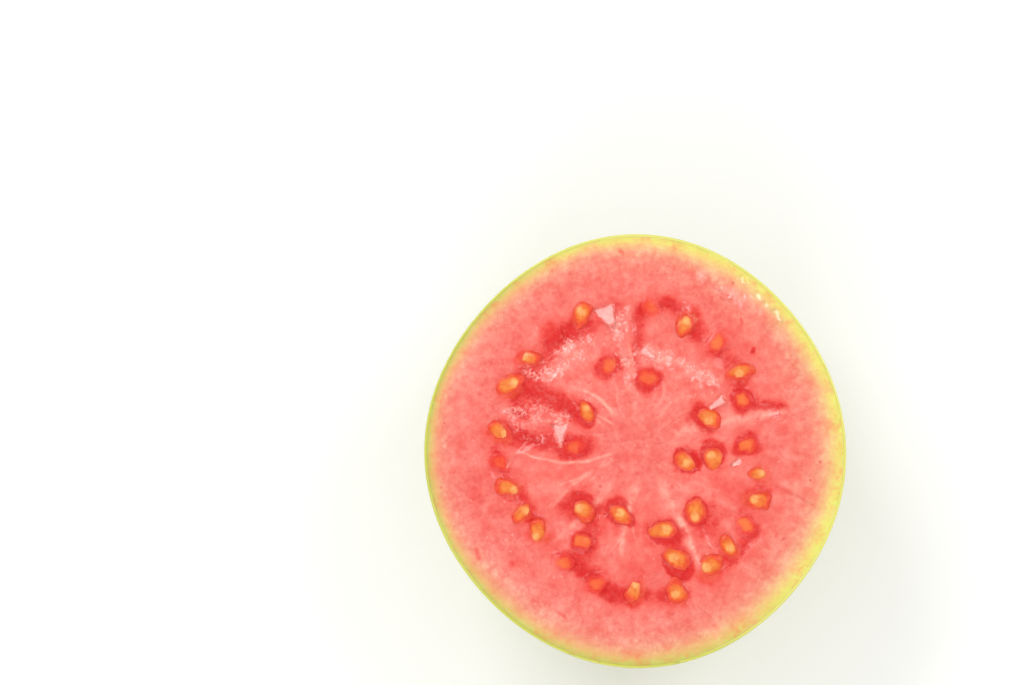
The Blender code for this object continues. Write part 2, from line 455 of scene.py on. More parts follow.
POOLS = (
    Stroke((21, 0.54), (16, 0.74), 0.05, 0.024, 0.90),
    Stroke((26, 0.29), (33, 0.35), 0.00, 0.034, 0.6),
    Stroke((34, 0.60), (51, 0.61), -0.10, 0.036, 0.75),
    Stroke((62, 0.62), (79, 0.70), -0.10, 0.034, 0.85),
    Stroke((88, 0.64), (89, 0.42), 0.00, 0.026, 0.8),
    Stroke((96, 0.67), (106, 0.62), -0.05, 0.026, 0.6),
    Stroke((112, 0.62), (127, 0.66), -0.05, 0.042, 1.0),
    Stroke((127, 0.64), (141, 0.60), -0.05, 0.036, 0.8),
    Stroke((144, 0.62), (159, 0.57), -0.05, 0.046, 0.9),
    Stroke((152, 0.62), (147, 0.32), 0.04, 0.044, 1.0),
    Stroke((172, 0.60), (176, 0.26), -0.04, 0.044, 1.0),
    Stroke((180, 0.66), (199, 0.63), -0.05, 0.030, 0.6),
    Stroke((200, 0.58), (214, 0.58), -0.05, 0.032, 0.7),
    Stroke((221, 0.41), (238, 0.34), -0.05, 0.046, 0.8),
    Stroke((240, 0.37), (245, 0.55), 0.00, 0.036, 0.75),
    Stroke((242, 0.60), (270, 0.67), -0.10, 0.040, 1.0),
    Stroke((270, 0.67), (287, 0.69), -0.05, 0.032, 0.8),
    Stroke((293, 0.45), (291, 0.60), 0.00, 0.028, 0.6),
    Stroke((304, 0.67), (325, 0.67), -0.08, 0.034, 0.75),
    Stroke((308, 0.50), (322, 0.48), 0.00, 0.046, 0.55),
    Stroke((335, 0.58), (342, 0.64), 0.00, 0.024, 0.7),
    Stroke((345, 0.22), (356, 0.37), 0.00, 0.030, 0.75),
    Stroke((272, 0.28), (272, 0.52), 0.00, 0.085, 0.30),
    Stroke((200, 0.28), (200, 0.52), 0.00, 0.080, 0.28),
    Stroke((338, 0.44), (330, 0.60), 0.00, 0.070, 0.28),
    Stroke((39.4, 0.730), (40.2, 0.745), 0.00, 0.009, 1.0),
    Stroke((94.0, 0.905), (94.6, 0.915), 0.00, 0.008, 0.5),
    Stroke((50.5, 0.795), (51.2, 0.805), 0.00, 0.007, 0.7),
    Stroke((213.0, 0.890), (215.0, 0.895), 0.00, 0.008, 0.4),
    Stroke((222.0, 0.800), (223.0, 0.810), 0.00, 0.010, 0.4),
    Stroke((243.0, 0.850), (248.0, 0.860), 0.00, 0.008, 0.4),
    Stroke((48, 0.84), (6, 0.80), -0.14, 0.110, 0.16),
    Stroke((350, 0.80), (300, 0.82), -0.14, 0.110, 0.15),
    Stroke((228, 0.62), (246, 0.64), 0.00, 0.040, 0.35),
)

# Where the flesh is torn into wet grains: the relief raises grains there, and the finish paints pale
# highlights over them.
GRAINY = (
    Stroke((141, 0.60), (118, 0.56), -0.04, 0.048, 1.0),
    Stroke((161, 0.60), (158, 0.38), 0.03, 0.030, 1.0),
    Stroke((164, 0.58), (158, 0.52), 0.00, 0.034, 1.0),
    Stroke((171, 0.55), (173, 0.47), 0.00, 0.024, 1.0),
    Stroke((98, 0.34), (97, 0.60), 0.00, 0.040, 1.0),
    Stroke((86, 0.46), (42, 0.49), 0.02, 0.032, 1.0),
    Stroke((134, 0.52), (142, 0.54), 0.00, 0.020, 1.0),
    Stroke((203, 0.64), (198, 0.58), 0.00, 0.018, 0.6),
    Stroke((68, 0.88), (48, 0.92), -0.08, 0.030, 0.8),
    Stroke((250, 0.33), (262, 0.26), 0.00, 0.024, 0.5),
    Stroke((72, 0.72), (66, 0.66), 0.00, 0.018, 0.8),
    Stroke((14, 0.64), (11, 0.72), 0.00, 0.018, 0.6),
)


@dataclass(frozen=True)
class Glint:
    """A small smooth flat in the wet flesh, tilted so that it shines.

    Attributes:
        direction: Where it is, in degrees.
        reach: How far from the core it is.
        length: Half its length, in shares of the face's radius.
        breadth: Half its width at its blunt end.
        turn: Which way its narrow end points, in degrees.
        taper: How much narrower the narrow end is, from 0 to 1.
    """

    direction: float
    reach: float
    length: float
    breadth: float
    turn: float
    taper: float

    LEAN = 134
    SLOPE = 0.32

    def flat(self, x: Array, y: Array, wobble: Array) -> tuple[Array, Array]:
        """Where the flat is and how it lies.

        Args:
            x: The points' places, in shares of the face's radius.
            y: The same, across.
            wobble: How far its edge is pushed out or in there, as a share of its length.

        Returns:
            How much of each point it covers, from 0 to 1, and its height there in shares of the
            face's radius.
        """
        turn, lean = math.radians(self.turn), math.radians(self.LEAN)
        middle = self.reach * np.exp(1j * math.radians(self.direction))
        local = (x + 1j * y - middle) * np.exp(-1j * turn)
        ahead = local.real / self.length
        wide = self.breadth * (1 - self.taper * np.clip((ahead + 1) / 2, 0, 1))
        away = np.maximum(np.abs(ahead), np.abs(local.imag) / wide)
        height = -self.SLOPE * ((x - middle.real) * math.cos(lean) + (y - middle.imag) * math.sin(lean))
        return smooth_step(1.12, 0.94, away + wobble), height


GLINTS = (
    Glint(101.5, 0.635, 0.054, 0.052, 292, 0.72),
    Glint(169.5, 0.362, 0.056, 0.040, 272, 0.88),
    Glint(82.0, 0.445, 0.034, 0.022, 330, 0.55),
    Glint(29.6, 0.452, 0.044, 0.025, 215, 0.60),
    Glint(352.4, 0.482, 0.028, 0.016, 215, 0.30),
    Glint(136.5, 0.530, 0.042, 0.012, 235, 0.40),
    Glint(97.0, 0.420, 0.016, 0.012, 200, 0.50),
    Glint(62.8, 0.860, 0.020, 0.009, 160, 0.30),
    Glint(58.6, 0.842, 0.030, 0.012, 200, 0.50),
    Glint(51.0, 0.938, 0.030, 0.018, 320, 0.60),
    Glint(47.4, 0.936, 0.024, 0.016, 330, 0.60),
    Glint(43.4, 0.938, 0.036, 0.018, 300, 0.50),
    Glint(57.6, 0.950, 0.026, 0.014, 310, 0.50),
    Glint(163.5, 0.635, 0.024, 0.009, 340, 0.20),
    Glint(186.5, 0.605, 0.020, 0.008, 240, 0.40),
    Glint(14.2, 0.690, 0.024, 0.010, 200, 0.40),
)


@dataclass(frozen=True)
class CutFace:
    """The relief and the markings of the cut face, with its five seed chambers.

    Attributes:
        form: The fruit's form.
        chambers: The five seed chambers.
        seeds: Every seed, chamber by chamber.
    """

    form: FruitForm
    chambers: tuple[Chamber, ...]
    seeds: tuple[tuple[Seed, ...], ...]

    CHAMBER_REACH = 0.73
    CHAMBER_EDGE = 0.06
    CORE_REACH = 0.12
    CORE_EDGE = 0.12
    CHANNEL_DEPTH = 0.0008
    CHANNEL_BANK = 0.055
    CHAMBER_WALL = 0.018
    CHAMBER_WALL_HEIGHT = 0.7
    LOBE_ROOT = 0.10
    LOBE_ROOT_RADIUS = 0.05
    LOBE_HEAD = 0.40
    LOBE_HEAD_RADIUS = 0.17
    LOBE_CROWN_EDGE = 0.10
    CHANNEL_SHARE = 0.65
    OPEN_FLOOR = -0.00006
    VEILED_FLOOR = 0.00010
    VEILED_RISE = -0.00025
    VEILED_SINK = 0.00045
    HIDDEN = 0.95
    WALL_RISE = 0.00015
    WALL_FLOOR = -0.00001
    FLOOR_SPREAD = 0.00009
    LIP_HEIGHT = 0.00007
    WALL_SOCKET = 0.55
    WALL_HALO_SHIFT = 0.045
    HALO_REACH = 1.95
    SOFT_HALO = 0.38
    VEILED_HALO = 0.6
    HALO_LEAN = (0.10, 0.30)
    LIP_REACH = 1.50
    LIP_WIDTH = 0.22
    FINE_FIBRES = 28
    GLINT_WOBBLE = 0.16
    RIPPLE_HEIGHT = 0.000016
    SWELL_HEIGHT = 0.00008
    STRAND_HEIGHT = 0.00002

    # The waves that bend the markings, each with its height and its length, and how much of the
    # bending the pools, the seeds and the strands take.
    BENDS = ((0.026, 0.16), (0.007, 0.045))
    POOL_BEND = 0.8
    SEED_BEND = 0.35
    STRAND_BEND = 0.25

    # The torn grains: the height and the size of each layer, and which part of the pattern it reads.
    GRAIN_LAYERS = ((0.00036, 0.058, 2), (0.00016, 0.029, 1))

    SEED_LENGTH = 0.0038
    SEED_WIDTH = 0.0029
    SEED_THICKNESS = 0.0025
    SEED_TAPER = 0.15
    SEED_RISE = 0.00018
    WALL_SEED_SPREAD = 0.010
    SEED_SIZE_SPREAD = 0.10
    SEED_TURN_SPREAD = math.radians(28)
    SEED_TILT_SPREAD = math.radians(12)
    RANDOM_SEED = 11

    @classmethod
    def cut(cls, form: FruitForm) -> CutFace:
        """Lays out the chambers' seeds, each with its narrow end towards its lobe.

        Args:
            form: The fruit's form.

        Returns:
            The cut face.
        """
        draw = random.Random(cls.RANDOM_SEED)
        places = [chamber.places(draw, cls.WALL_SEED_SPREAD) for chamber in CHAMBERS]
        seeds = []
        for chamber, found in zip(CHAMBERS, places):
            lobe = math.radians(chamber.direction)
            laid = []
            for number, (direction, reach) in enumerate(found):
                x, y = reach * math.cos(direction), reach * math.sin(direction)
                heading = math.atan2(
                    cls.LOBE_HEAD * math.sin(lobe) - y, cls.LOBE_HEAD * math.cos(lobe) - x
                )
                laid.append(
                    Seed(
                        x=x,
                        y=y,
                        turn=heading + draw.uniform(-cls.SEED_TURN_SPREAD, cls.SEED_TURN_SPREAD),
                        tilt=draw.uniform(-cls.SEED_TILT_SPREAD, cls.SEED_TILT_SPREAD),
                        size=1 + draw.uniform(-cls.SEED_SIZE_SPREAD, cls.SEED_SIZE_SPREAD),
                        veil=chamber.veiled.get(number, 0.0),
                        socket=1.0 if number >= chamber.wall_seeds[0] else cls.WALL_SOCKET,
                    )
                )
            seeds.append(tuple(laid))
        return cls(form, CHAMBERS, tuple(seeds))

    def lobe_distance(self, x: Array, y: Array, direction: float) -> Array:
        """How far points lie outside the lobe that points in that direction.

        The lobe is a round cone: a small circle near the core and a large one further out, and
        what lies between their common tangents.

        Args:
            x: The points' places, in shares of the face's radius.
            y: The same, across.
            direction: The lobe's direction in radians.

        Returns:
            The distance, which is negative inside the lobe.
        """
        along = x * math.cos(direction) + y * math.sin(direction) - self.LOBE_ROOT
        across = np.abs(y * math.cos(direction) - x * math.sin(direction))
        length = self.LOBE_HEAD - self.LOBE_ROOT
        slope = (self.LOBE_ROOT_RADIUS - self.LOBE_HEAD_RADIUS) / length
        side = math.sqrt(1 - slope * slope)
        place = side * along - slope * across
        root = np.hypot(across, along) - self.LOBE_ROOT_RADIUS
        head = np.hypot(across, along - length) - self.LOBE_HEAD_RADIUS
        flank = side * across + slope * along - self.LOBE_ROOT_RADIUS
        return np.where(place < 0, root, np.where(place > side * length, head, flank))

    def wall_distance(self, x: Array, y: Array) -> Array:
        """How far points lie from the nearest thin wall between two chambers.

        Args:
            x: The points' places, in shares of the face's radius.
            y: The same, across.

        Returns:
            The distance.
        """
        nearest = np.ones_like(x)
        for index, chamber in enumerate(self.chambers):
            following = self.chambers[(index + 1) % len(self.chambers)].direction
            between = (following - chamber.direction) % 360 / 2
            middle = math.radians(chamber.direction + between)
            ahead = x * math.cos(middle) + y * math.sin(middle) > 0
            away = np.abs(y * math.cos(middle) - x * math.sin(middle))
            nearest = np.where(ahead, np.minimum(nearest, away), nearest)
        return nearest

    def seed_fields(self, x: Array, y: Array) -> tuple[Array, Array, Array, Array]:
        """How near points lie to the seeds.

        Args:
            x: The points' places, in shares of the face's radius.
            y: The same, across.

        Returns:
            The distance from the nearest seed's middle, where 1 is that seed's own edge, how thick
            the pulp over that seed is, how deep its socket is, and how dark the halo of pulp round
            any seed is: darkest close to the seed, and a little inwards of those along the wall.
        """
        nearest = np.full_like(x, 99.0)
        veil = np.zeros_like(x)
        socket = np.zeros_like(x)
        halo = np.zeros_like(x)
        draw = random.Random(self.RANDOM_SEED)
        for seed in (seed for laid in self.seeds for seed in laid):
            across, along = x - seed.x, y - seed.y
            ahead = across * math.cos(seed.turn) + along * math.sin(seed.turn)
            aside = along * math.cos(seed.turn) - across * math.sin(seed.turn)
            half = seed.size * self.SEED_LENGTH / 2 / self.form.face_radius
            wide = seed.size * self.SEED_WIDTH / 2 / self.form.face_radius
            away = np.hypot(ahead / half, aside / (wide * (1 - self.SEED_TAPER * ahead / half)))
            veil = np.where(away < nearest, seed.veil, veil)
            socket = np.where(away < nearest, seed.socket, socket)
            nearest = np.minimum(nearest, away)
            shift = self.WALL_HALO_SHIFT * (1 - seed.socket)
            off = np.hypot(x - seed.x * (1 - shift), y - seed.y * (1 - shift)) / half
            soft = self.SOFT_HALO * smooth_step(self.HALO_REACH, 0.9, off)
            thick, side = draw.uniform(*self.HALO_LEAN), draw.uniform(0, math.tau)
            lopsided = away - thick * (ahead * math.cos(side) + aside * math.sin(side)) / half
            close = smooth_step(1.50, 0.88, lopsided) * seed.socket**2
            close = close * (1 - self.VEILED_HALO * seed.veil)
            halo = np.maximum(halo, seed.socket * soft + close)
        return nearest, veil, socket, halo

    def bend(self, flat: Array, place: int) -> Array:
        """How far the markings are pushed off their plain lines, in soft waves."""
        waves = (reach * soft_patches(flat, size, place + k) for k, (reach, size) in enumerate(self.BENDS))
        return sum(waves)

    def channels(self, x: Array, y: Array) -> tuple[Array, Array, Array]:
        """Where the sunk channels run round the lobes.

        Args:
            x: The points' places, in shares of the face's radius.
            y: The same, across.

        Returns:
            How far the points lie outside the nearest lobe, how deep in a channel they are, from 0
            to 1, and how clear of the core, from 0 to 1.
        """
        reach = np.hypot(x, y)
        lobes = [self.lobe_distance(x, y, math.radians(c.direction)) for c in self.chambers]
        to_lobe = np.min(lobes, axis=0)
        inside = smooth_step(self.CHAMBER_REACH, self.CHAMBER_REACH - self.CHAMBER_EDGE, reach)
        clear_of_core = smooth_step(self.CORE_REACH, self.CORE_REACH + self.CORE_EDGE, reach)
        channel = smooth_step(0.0, self.CHANNEL_BANK, to_lobe) * inside * clear_of_core
        wall = np.exp(-((self.wall_distance(x, y) / self.CHAMBER_WALL) ** 2))
        return to_lobe, channel * (1 - self.CHAMBER_WALL_HEIGHT * wall), clear_of_core

    def stains(
        self, flat: Array, warp_x: Array, warp_y: Array
    ) -> tuple[Array, Array, Array, Array]:
        """How clearly the listed markings show.

        Args:
            flat: The points' places, one x, y, z row each.
            warp_x: How far the markings are bent there.
            warp_y: The same, across.

        Returns:
            The pools of pulp, the pale strands, the dark veins and the torn grains, from 0 to 1.
        """
        x, y = flat[:, 0], flat[:, 1]
        px, py = x + self.POOL_BEND * warp_x, y + self.POOL_BEND * warp_y
        sx, sy = x + self.STRAND_BEND * warp_x, y + self.STRAND_BEND * warp_y
        fibres = FIBRES + fine_fibres(self.FINE_FIBRES, self.RANDOM_SEED)
        strand = np.max([fibre.thread(sx, sy) for fibre in fibres], axis=0)
        grainy = np.max([area.stain(px, py) for area in GRAINY], axis=0)
        return (
            np.max([pool.stain(px, py) for pool in POOLS], axis=0),
            strand * smooth_step(-0.9, 0.2, soft_patches(flat, 0.05, 13)),
            np.max([vein.thread(x, y) for vein in VEINS], axis=0),
            grainy * smooth_step(-0.60, 0.25, soft_patches(flat, 0.05, 12)),
        )

    def floor(self, flat: Array, veil: Array, socket: Array) -> Array:
        """The height of the flesh right round the nearest seed.

        Args:
            flat: The points' places, one x, y, z row each.
            veil: How thick the pulp over the nearest seed is.
            socket: How deep that seed's socket is.

        Returns:
            The height above the cut.
        """
        floor = np.where(socket < 1, self.WALL_FLOOR, self.OPEN_FLOOR)
        floor = np.where(veil > 0, self.VEILED_FLOOR, floor)
        return floor + self.FLOOR_SPREAD * soft_patches(flat, 0.045, 9)

    def read(self, x: Array, y: Array) -> dict[str, Array]:
        """Works out the whole face.

        Args:
            x: The points' places, in shares of the face's radius.
            y: The same, across.

        Returns:
            The relief in metres under "relief", and the markings from 0 to 1 under their names.
        """
        flat = np.column_stack((x, y, np.zeros_like(x)))
        warp_x, warp_y = self.bend(flat, 1), self.bend(flat, 3)
        to_lobe, channel, clear_of_core = self.channels(x + warp_x, y + warp_y)
        tremble = 0.010 * soft_patches(flat, 0.05, 14)
        to_seed, veil, socket, halo = self.seed_fields(
            x + self.SEED_BEND * warp_x + tremble, y + self.SEED_BEND * warp_y - tremble
        )
        reach = np.hypot(x + warp_x, y + warp_y)
        wet = smooth_step(self.CHAMBER_REACH + 0.03, self.CHAMBER_REACH - 0.08, reach)
        patch, fine = soft_patches(flat, 0.11, 7), soft_patches(flat, 0.030, 5)
        pool, strand, vein, grainy = self.stains(flat, warp_x, warp_y)

        near = smooth_step(1.40, 0.85, to_seed)
        lip = np.exp(-(((to_seed - self.LIP_REACH) / self.LIP_WIDTH) ** 2)) * socket * wet
        lip = lip * smooth_step(0.1, 0.7, soft_patches(flat, 0.06, 15)) * np.where(veil > 0, 0.5, 1.0)
        depth = self.CHANNEL_DEPTH * self.CHANNEL_SHARE * channel
        relief = self.form.LOBE_CROWN * smooth_step(0.0, -self.LOBE_CROWN_EDGE, to_lobe)
        relief -= depth * (0.40 + 0.60 * pool)
        relief += (self.floor(flat, veil, socket) - relief) * near
        relief += self.LIP_HEIGHT * lip
        relief += self.RIPPLE_HEIGHT * fine * (0.4 + 0.6 * wet)
        torn = np.maximum(grainy, 0.20 * pool)
        for height, size, place in self.GRAIN_LAYERS:
            relief += height * torn * (grains(flat, size, place) - 0.5)
        relief += self.SWELL_HEIGHT * soft_patches(flat, 0.30, 6) * smooth_step(1.0, 0.85, reach)
        relief += self.STRAND_HEIGHT * (strand - vein)
        sleek = np.zeros_like(x)
        wobble = self.GLINT_WOBBLE * soft_patches(flat, 0.036, 16)
        for glint in GLINTS:
            cover, height = glint.flat(x, y, wobble)
            relief += (height * self.form.face_radius - relief) * cover
            sleek = np.maximum(sleek, cover)

        pulp = (pool + halo - pool * halo) * (1 + 0.25 * patch)
        through_veil = smooth_step(1.25, 0.20, to_seed + 0.20 * fine)
        through_veil = through_veil * np.where(veil > self.HIDDEN, 0.3, 1.0)
        at_edge = 0.5 * smooth_step(1.45, 0.85, to_seed + 0.25 * fine) * (1.3 - socket)
        return {
            "relief": relief,
            "pulp": np.clip(pulp, 0, 1) * (1 - sleek),
            "glow": np.where(veil > 0, through_veil, at_edge),
            "veil": veil * near,
            "lobe": smooth_step(0.03, -0.06, to_lobe) * clear_of_core * (1 - near),
            "strand": strand * (1 - near) * (1 - sleek),
            "vein": vein,
            "grainy": grainy,
            "sleek": sleek,
            "wet": wet,
            "snug": smooth_step(1.90, 1.35, to_seed),
        }


# ---------------------------------------------------------------- meshes


@dataclass
class RingMesh:
    """A closed mesh built ring by ring, from one pole to the other.

    Attributes:
        counts: How many points each ring has: 1 at a pole, and otherwise the same as its
            neighbour, half of it or twice it.
        radius: Each point's distance from the axis.
        angle: Each point's direction.
        height: Each point's height.
    """

    counts: list[int] = field(default_factory=list)
    radius: list[Array] = field(default_factory=list)
    angle: list[Array] = field(default_factory=list)
    height: list[Array] = field(default_factory=list)

    def ring(self, count: int, radius: float, height: float) -> None:
        """Adds one level ring of points.

        Args:
            count: How many points it has.
            radius: How far they are from the axis.
            height: How high they are.
        """
        self.counts.append(count)
        self.radius.append(np.full(count, radius))
        self.angle.append(math.tau * np.arange(count) / count)
        self.height.append(np.full(count, height))

    def arrays(self) -> tuple[Array, Array, Array]:
        """Every point's radius, angle and height, ring after ring."""
        return tuple(np.concatenate(part) for part in (self.radius, self.angle, self.height))

    def faces(self) -> list[tuple[int, ...]]:
        """The faces between neighbouring rings, which look out when the first pole is on top.

        Returns:
            The points of each face.
        """
        found: list[tuple[int, ...]] = []
        start = 0
        for inner, outer in zip(self.counts, self.counts[1:]):
            after = start + inner
            for k in range(max(inner, outer)):
                a, b = start + k % inner, start + (k + 1) % inner
                c, d = after + k % outer, after + (k + 1) % outer
                if inner == 1:
                    found.append((start, c, d))
                elif outer == 1:
                    found.append((a, after, b))
                elif inner == outer:
                    found.append((a, c, d, b))
                elif inner < outer and k < inner:
                    left, middle = after + 2 * k, after + 2 * k + 1
                    right = after + (2 * k + 2) % outer
                    found += [(a, left, middle), (a, middle, b), (b, middle, right)]
                elif inner > outer and k < outer:
                    left, middle = start + 2 * k, start + 2 * k + 1
                    right = start + (2 * k + 2) % inner
                    found += [(left, c, middle), (middle, c, d), (middle, d, right)]
            start = after
        return found


def make_piece(
    name: str, points: Array, faces: list[tuple[int, ...]], marks: dict[str, Array]
) -> bpy.types.Object:
    """Makes a smooth mesh object with its markings stored on its points.

    Args:
        name: The piece's name.
        points: One x, y, z row for each point.
        faces: The points of each face.
        marks: One value a point under each marking's name.

    Returns:
        The new object, linked to the scene.
    """
    mesh = bpy.data.meshes.new(name)
    mesh.from_pydata(points.tolist(), [], faces)
    for mark, values in marks.items():
        layer = mesh.attributes.new(mark, "FLOAT", "POINT")
        layer.data.foreach_set("value", np.asarray(values, dtype=np.float32))
    mesh.shade_smooth()
    piece = bpy.data.objects.new(name, mesh)
    bpy.context.scene.collection.objects.link(piece)
    return piece


def dress(piece: bpy.types.Object, finish: bpy.types.Material) -> None:
    """Gives a piece its finish and its place on the body.

    Args:
        piece: The piece.
        finish: Its material.
    """
    piece.data.materials.append(finish)
    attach(piece, BODY)
    faces = len(piece.data.polygons)
    LOG.info("%s: %d faces, finish %s", piece.name, faces, finish.name)


@dataclass(frozen=True)
class Flesh:
    """The pink flesh: the cut face with its chambers, and a plain underside that the skin hides.

    Attributes:
        face: The cut face.
        fine_step: The distance between points in the chambers.
        ring_step: The distance between rings in the plain flesh round them.
    """

    face: CutFace
    fine_step: float = 0.00020
    ring_step: float = 0.00030

    FINE_REACH = 0.78
    CORE_POINTS = 24
    RING_POINTS = 768
    EDGE_TUCK = 0.45
    UNDERSIDE_RINGS = 14

    # The pale band under the skin: its usual width, how much wider it is on its wide side, how far
    # that side lies clockwise from +X, and how much the width wavers.
    RIND_WIDTH = 1.08
    RIND_LEAN = 0.26
    RIND_SIDE = math.radians(18)
    RIND_WAVER = 0.12

    def rings(self) -> RingMesh:
        """The flat rings of the face from the core out, and the underside's down to its pole.

        Returns:
            The rings. There are more points to a ring the further out it is.
        """
        form = self.face.form
        mesh = RingMesh()
        mesh.ring(1, 0.0, form.face_height)
        radius, count = self.fine_step, self.CORE_POINTS
        while radius < self.FINE_REACH * form.face_radius:
            if math.tau * radius / count > self.fine_step * 1.05:
                count *= 2
            mesh.ring(count, radius, form.face_height)
            radius += self.fine_step
        while count > self.RING_POINTS:
            count //= 2
            mesh.ring(count, radius, form.face_height)
            radius += self.ring_step
        edge = form.face_radius - self.EDGE_TUCK * form.skin_thickness
        for outer in np.linspace(radius, edge, round((edge - radius) / self.ring_step) + 1):
            mesh.ring(count, float(outer), form.face_height)
        tuck = self.EDGE_TUCK * form.skin_thickness
        for share in np.linspace(0.02, 1.0, self.UNDERSIDE_RINGS):
            outer, height = form.side(share)
            mesh.ring(count, float(outer) - tuck, float(height) + tuck * share)
        mesh.ring(count, form.dimple_radius, form.dimple_depth + tuck)
        mesh.ring(1, 0.0, form.dimple_depth + tuck)
        return mesh

    def rind(self, radius: Array, angle: Array) -> Array:
        """How deep under the skin points lie, drawn in where the pale band is wide.

        Args:
            radius: The points' distances from the axis.
            angle: Their directions.

        Returns:
            The depth in mm.
        """
        form = self.face.form
        depth = (form.face_radius - radius) * form.outline(angle) / MM
        ring = np.column_stack((np.cos(angle), np.sin(angle), radius / form.face_radius))
        width = self.RIND_WIDTH + self.RIND_LEAN * np.cos(angle + self.RIND_SIDE)
        width += self.RIND_WAVER * soft_patches(ring, 0.35, 8)
        return depth / np.maximum(width, 0.4)

    def build(self) -> bpy.types.Object:
        """Makes the flesh.

        Returns:
            The piece.
        """
        form = self.face.form
        mesh = self.rings()
        radius, angle, height = mesh.arrays()
        x, y = radius / form.face_radius * np.cos(angle), radius / form.face_radius * np.sin(angle)
        marks = self.face.read(x, y)
        on_face = height > form.face_height - TINY
        relief = np.where(on_face, marks.pop("relief"), 0.0)
        out = radius + np.where(on_face, 0.0, form.lumps(angle, height))
        out = out * form.swell(angle, height)
        marks["rind"] = self.rind(radius, angle)
        marks["ripe"] = 0.5 + 0.5 * np.cos(angle - RIPE_SIDE)
        points = np.column_stack((out * np.cos(angle), out * np.sin(angle), height + relief))
        return make_piece("guava_flesh", points, mesh.faces(), marks)


@dataclass(frozen=True)
class Blemish:
    """One small corky scar on the skin.

    Attributes:
        direction: Which side of the fruit it is on, in degrees.
        share: How far down the skin it is, from 0 at the rim to 1 at the flat spot.
        size: How far across it is.
        stretch: How much longer it is than wide.
        lean: How it is turned, in radians.
    """

    direction: float
    share: float
    size: float
    stretch: float
    lean: float


